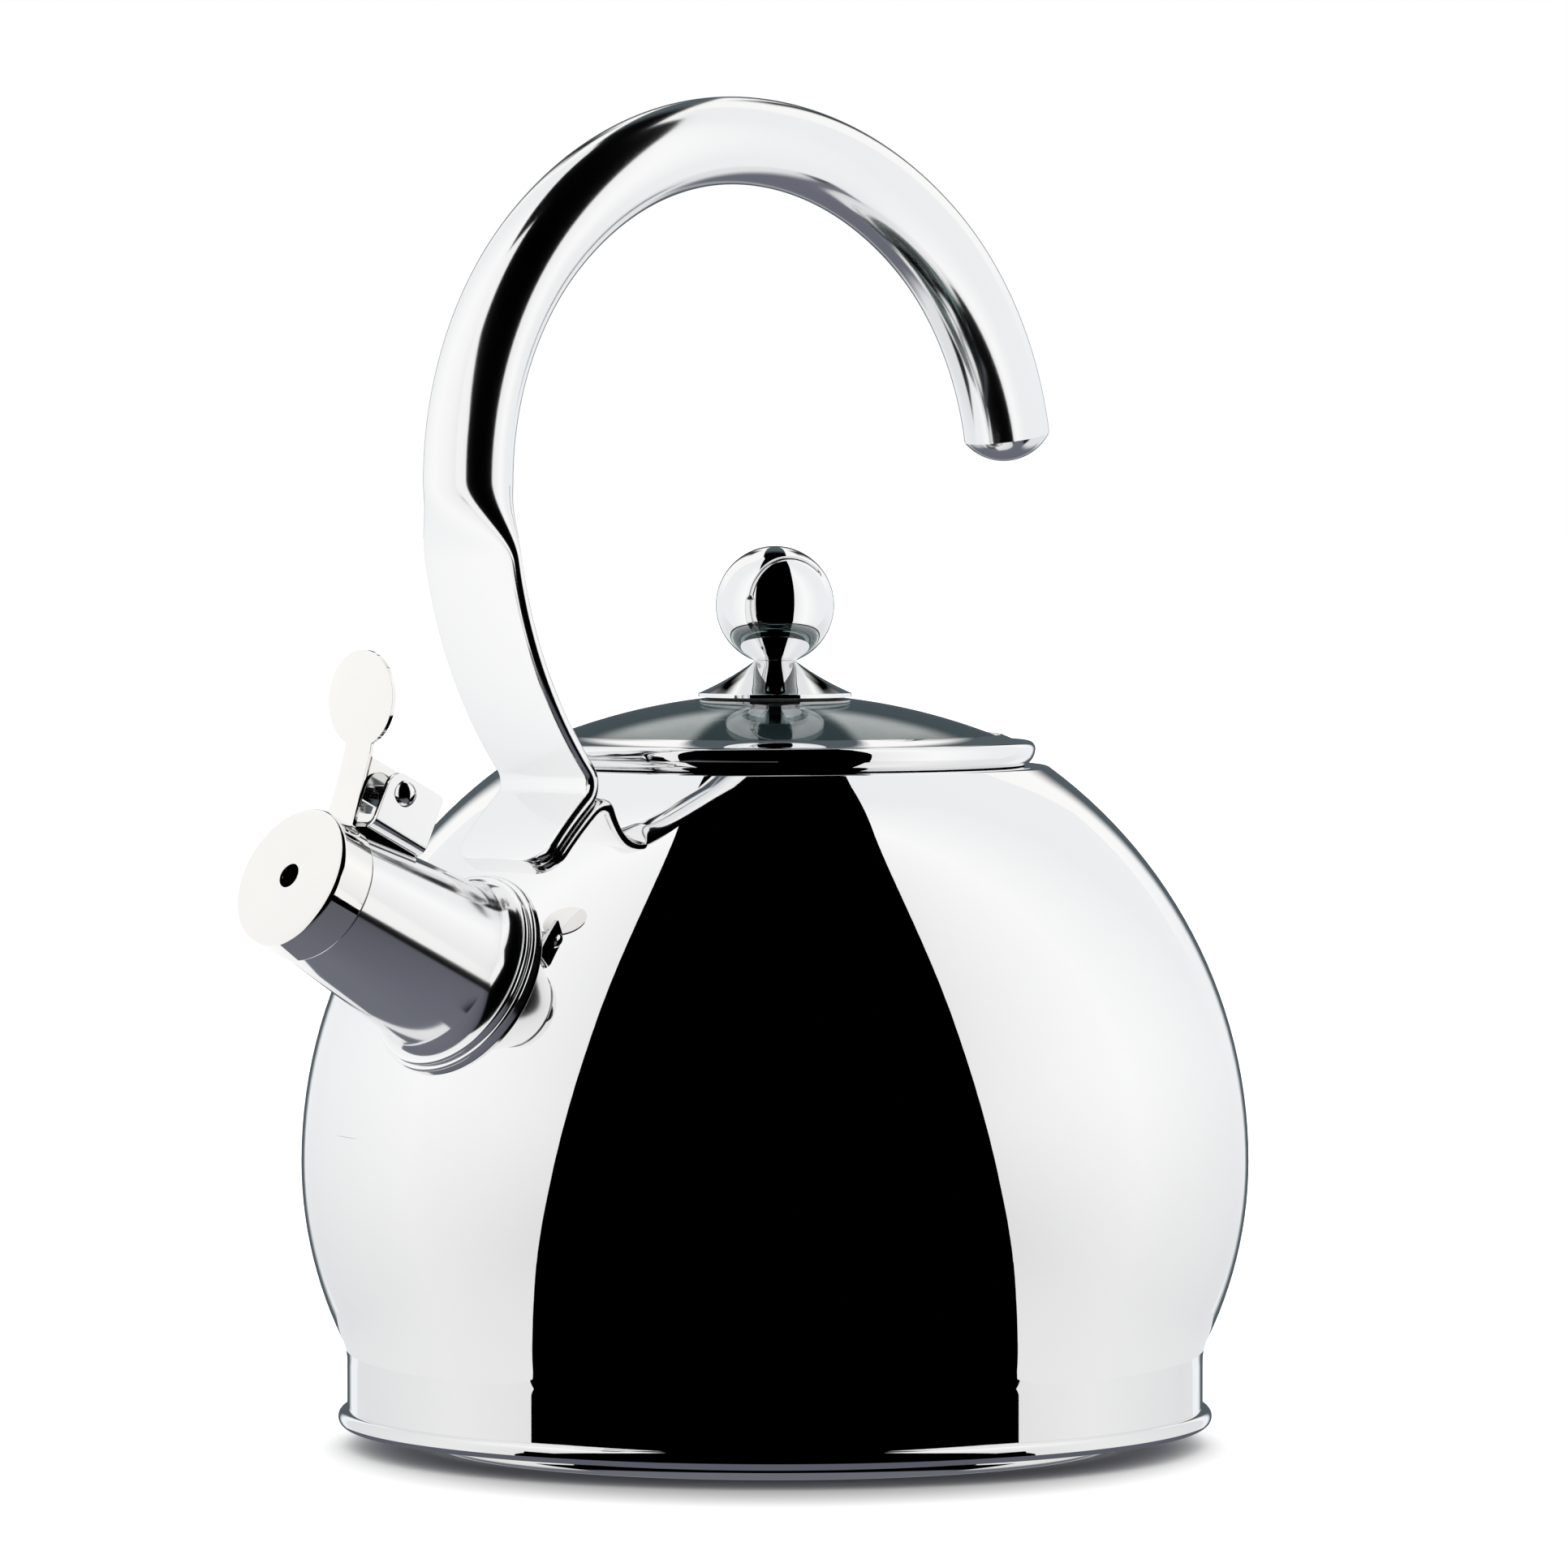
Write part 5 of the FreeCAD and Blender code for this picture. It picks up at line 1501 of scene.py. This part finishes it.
def dark_studio():
    """World that is dark in front and, in a slot and a gap, behind, where it is pale otherwise."""
    world = bpy.data.worlds.new("dark_studio")
    bpy.context.scene.world = world
    world.use_nodes = True
    tree = world.node_tree
    graph = Graph(tree)
    ray = tree.nodes.new("ShaderNodeTexCoord").outputs["Generated"]
    up = graph.along(ray, ALONG_Z)
    over = graph.math("ARCTAN2", up, graph.along(ray, CAMERA_FRONT))
    behind = graph.math("ABSOLUTE", over)
    aside = graph.math("ABSOLUTE", graph.math("ARCSINE", graph.along(ray, CAMERA_RIGHT)))
    rise = graph.math("ARCSINE", up)

    slot_edge = graph.math("MULTIPLY_ADD", over, SLOT_SLOPE, SLOT_EDGE)
    past_slot = graph.step(graph.math("SUBTRACT", aside, slot_edge), *SLOT_BLUR)
    below = graph.rest(graph.step(over, *LEVEL_BLUR))
    pale = graph.math("MAXIMUM", past_slot, below)
    pale = graph.math("MULTIPLY", graph.fade(behind, PALE_BACK), pale)
    narrow = graph.rest(graph.fade(aside, NARROW_SIDE))
    above_gap = graph.math("MULTIPLY", narrow, graph.fade(rise, NARROW_TOP))
    above_gap = graph.math("MAXIMUM", above_gap, graph.fade(rise, GAP_TOP))
    below_gap = graph.rest(graph.fade(rise, GAP_BOTTOM))
    past_gap = graph.math("MAXIMUM", above_gap, below_gap)
    past_gap = graph.math("MAXIMUM", graph.fade(aside, GAP_SIDE), past_gap)
    pale = graph.math("MULTIPLY", pale, past_gap)

    room = graph.blend(graph.fade(rise, LOW_TO_LEVEL), BACK_LOW, BACK_LEVEL)
    room = graph.blend(graph.fade(rise, LEVEL_TO_HIGH), room, BACK_HIGH)
    black = graph.math("SUBTRACT", graph.fade(rise, BLACK_TOP), narrow)
    black = graph.math("MAXIMUM", black, 0.0)
    slaty = graph.math("MULTIPLY", graph.fade(behind, SLATE_BACK), graph.rest(black))
    room = graph.blend(pale, graph.blend(slaty, DARK_ROOM, BACK_GAP), room)
    low_back = graph.rest(graph.fade(rise, SLATE_TOP))
    low_back = graph.math("SUBTRACT", low_back, graph.fade(over, SLATE_LOW))
    low_back = graph.math("SUBTRACT", low_back, graph.fade(aside, SLATE_SIDE))
    room = graph.blend(graph.math("MAXIMUM", low_back, 0.0), room, SLATE)
    room = graph.blend(graph.fade(rise, SLATE_FLOOR), SLATE, room)

    paths = tree.nodes.new("ShaderNodeLightPath").outputs
    room = graph.blend(paths["Is Diffuse Ray"], room, WHITE)
    room = graph.blend(paths["Is Camera Ray"], room, WHITE)
    backdrop = tree.nodes["Background"].inputs
    tree.links.new(room, backdrop["Color"])
    tree.links.new(graph.math("ADD", paths["Is Diffuse Ray"], 1.0), backdrop["Strength"])


def glowing_card(name, stops, one_sided=False, low=1.0, high=1.0):
    """Glow with colours at distances in front of the axis, one strength low down and one high up."""
    material = bpy.data.materials.new(name)
    material.use_nodes = True
    tree = material.node_tree
    tree.nodes.clear()
    graph = Graph(tree)
    place = tree.nodes.new("ShaderNodeTexCoord").outputs["Object"]
    start = stops[0][0]
    end = stops[-1][0]
    part = tree.nodes.new("ShaderNodeMapRange")
    part.inputs["From Min"].default_value = start
    part.inputs["From Max"].default_value = end
    tree.links.new(graph.along(place, CAMERA_FRONT), part.inputs["Value"])
    ramp = tree.nodes.new("ShaderNodeValToRGB")
    marks = ramp.color_ramp.elements
    for distance, _ in stops[1:-1]:
        marks.new((distance - start) / (end - start))
    for mark, (_, shade) in zip(marks, stops):
        mark.color = (*shade, 1.0)
    tree.links.new(part.outputs["Result"], ramp.inputs["Fac"])
    glow = tree.nodes.new("ShaderNodeEmission")
    tree.links.new(ramp.outputs["Color"], glow.inputs["Color"])
    height = graph.step(graph.along(place, ALONG_Z), SHELF_HEIGHT, CARD_BRIGHT)
    tree.links.new(graph.math("MULTIPLY_ADD", height, high - low, low), glow.inputs["Strength"])
    side = tree.nodes.new("ShaderNodeNewGeometry").outputs["Backfacing"] if one_sided else 0.0
    clear = tree.nodes.new("ShaderNodeBsdfTransparent")
    mix = tree.nodes.new("ShaderNodeMixShader")
    graph.link(side, mix.inputs["Fac"])
    tree.links.new(glow.outputs["Emission"], mix.inputs[1])
    tree.links.new(clear.outputs["BSDF"], mix.inputs[2])
    surface = tree.nodes.new("ShaderNodeOutputMaterial")
    tree.links.new(mix.outputs["Shader"], surface.inputs["Surface"])
    return material


def add_card(name, path, tilt, place, material):
    """Flat card that only reflections show, at a place in front, aside and up. Level ones face up."""
    card = start_outline(name, flat(path[0]))
    draw_outline([*path, path[0]], FINE_ARC)
    tidy_mesh()
    bpy.ops.mesh.edge_face_add()
    bpy.ops.object.mode_set(mode="OBJECT")
    set_in_place(card, CENTRE, tilt)
    set_in_place(card, place)
    set_in_place(card, CENTRE, (0.0, 0.0, -math.pi / 2 - CAMERA_TURN))
    if card.data.polygons[0].normal.z < -NORMAL_SHARE:
        card.data.flip_normals()
    card.data.materials.append(material)
    card.visible_camera = False
    card.visible_diffuse = False
    card.visible_shadow = False
    return card


def mirrored(path, side):
    """The same outline with its second coordinates times a sign."""
    return [mirrored(step, side) if is_bent(step) else (step[0], side * step[1]) for step in path]


def light_only(card, *names):
    """Let a card light only the named pieces. The others see it dark."""
    lit = bpy.data.collections.new(card.name + "_lit")
    for name in names:
        lit.objects.link(bpy.data.objects[name])
    card.light_linking.receiver_collection = lit


class KETTLE_OT_stage(Operator):
    """Add the floor, the cards that the steel reflects and the camera"""
    bl_idname = "kettle.stage"
    bl_label = "Stage"

    def execute(self, context):
        scene = context.scene
        bpy.ops.object.select_all(action="DESELECT")
        bpy.ops.mesh.primitive_plane_add(size=FLOOR_SIZE, location=CENTRE)
        floor = name_piece("stage_floor")
        floor.data.materials.append(floor_with_painted_shadow(scene.kettle.finish))
        floor.visible_glossy = False
        dark_studio()
        white = glowing_card("white_card", WHITE_CARD, low=CARD_LOW, high=CARD_HIGH)
        shelf = glowing_card("white_shelf", WHITE_CARD, one_sided=True, low=CARD_LOW, high=CARD_HIGH)
        for side in (-1.0, 1.0):
            add_card("side_card", CARD_OUTLINE, CENTRE, (0.0, side * CARD_ASIDE, 0.0), white)
            outline = mirrored(SHELF_OUTLINE, side)
            add_card("shelf_card", outline, LEVEL_TILT, (0.0, 0.0, SHELF_HEIGHT), shelf)
        slate = glowing_card("slate_table", SLATE_TABLE, one_sided=True)
        add_card("table_card", TABLE_OUTLINE, LEVEL_TILT, (0.0, 0.0, TABLE_HEIGHT), slate)
        ring = glowing_card("slate_ring", SLATE_RING)
        add_card("ring_card", RING_OUTLINE, LEVEL_TILT, (0.0, 0.0, RING_HEIGHT), ring)
        bright = glowing_card("white_front", WHITE_FRONT)
        card = add_card("hook_card", HOOK_CARD, FACING_TILT, (HOOK_CARD_AHEAD, 0.0, 0.0), bright)
        light_only(card, "hook_handle")
        card = add_card("spout_card", SPOUT_CARD, CENTRE, (0.0, CARD_BEHIND, 0.0), bright)
        light_only(card, "spout_tapered_tube", "spout_rolled_collar", "whistle_cup")

        place = Vector((-CAMERA_DISTANCE * math.sin(CAMERA_TURN),
                        -CAMERA_DISTANCE * math.cos(CAMERA_TURN), CAMERA_HEIGHT))
        look = Vector(CAMERA_AIM) - place
        bpy.ops.object.camera_add(location=place, rotation=look.to_track_quat("-Z", "Y").to_euler())
        camera = context.object
        camera.data.sensor_width = SENSOR
        camera.data.lens = CAMERA_LENS
        scene.camera = camera
        scene.view_settings.view_transform = "Standard"
        return {"FINISHED"}


class KETTLE_PT_panel(Panel):
    """Lists the steps that model the kettle"""
    bl_label = "Kettle"
    bl_space_type = "VIEW_3D"
    bl_region_type = "UI"
    bl_category = "Kettle"

    def draw(self, context):
        for step in STEPS:
            self.layout.operator(step.bl_idname)


STEPS = (
    KETTLE_OT_body,
    KETTLE_OT_spout,
    KETTLE_OT_hinge,
    KETTLE_OT_whistle,
    KETTLE_OT_handle,
    KETTLE_OT_lid,
    KETTLE_OT_stage,
)
GROUPS = (
    KettleBody,
    KettleBase,
    KettleSpout,
    KettleWhistle,
    KettleHinge,
    KettleHandle,
    KettleLid,
    KettleKnob,
    KettleFinish,
    KettleSettings,
)
CLASSES = (*GROUPS, *STEPS, KETTLE_PT_panel)


def register():
    for kind in CLASSES:
        bpy.utils.register_class(kind)
    bpy.types.Scene.kettle = PointerProperty(type=KettleSettings)


def unregister():
    del bpy.types.Scene.kettle
    for kind in reversed(CLASSES):
        bpy.utils.unregister_class(kind)


def main():
    register()
    bpy.ops.kettle.body()
    bpy.ops.kettle.spout()
    bpy.ops.kettle.hinge()
    bpy.ops.kettle.whistle()
    bpy.ops.kettle.handle()
    bpy.ops.kettle.lid()
    bpy.ops.kettle.stage()


if __name__ == "__main__":
    main()
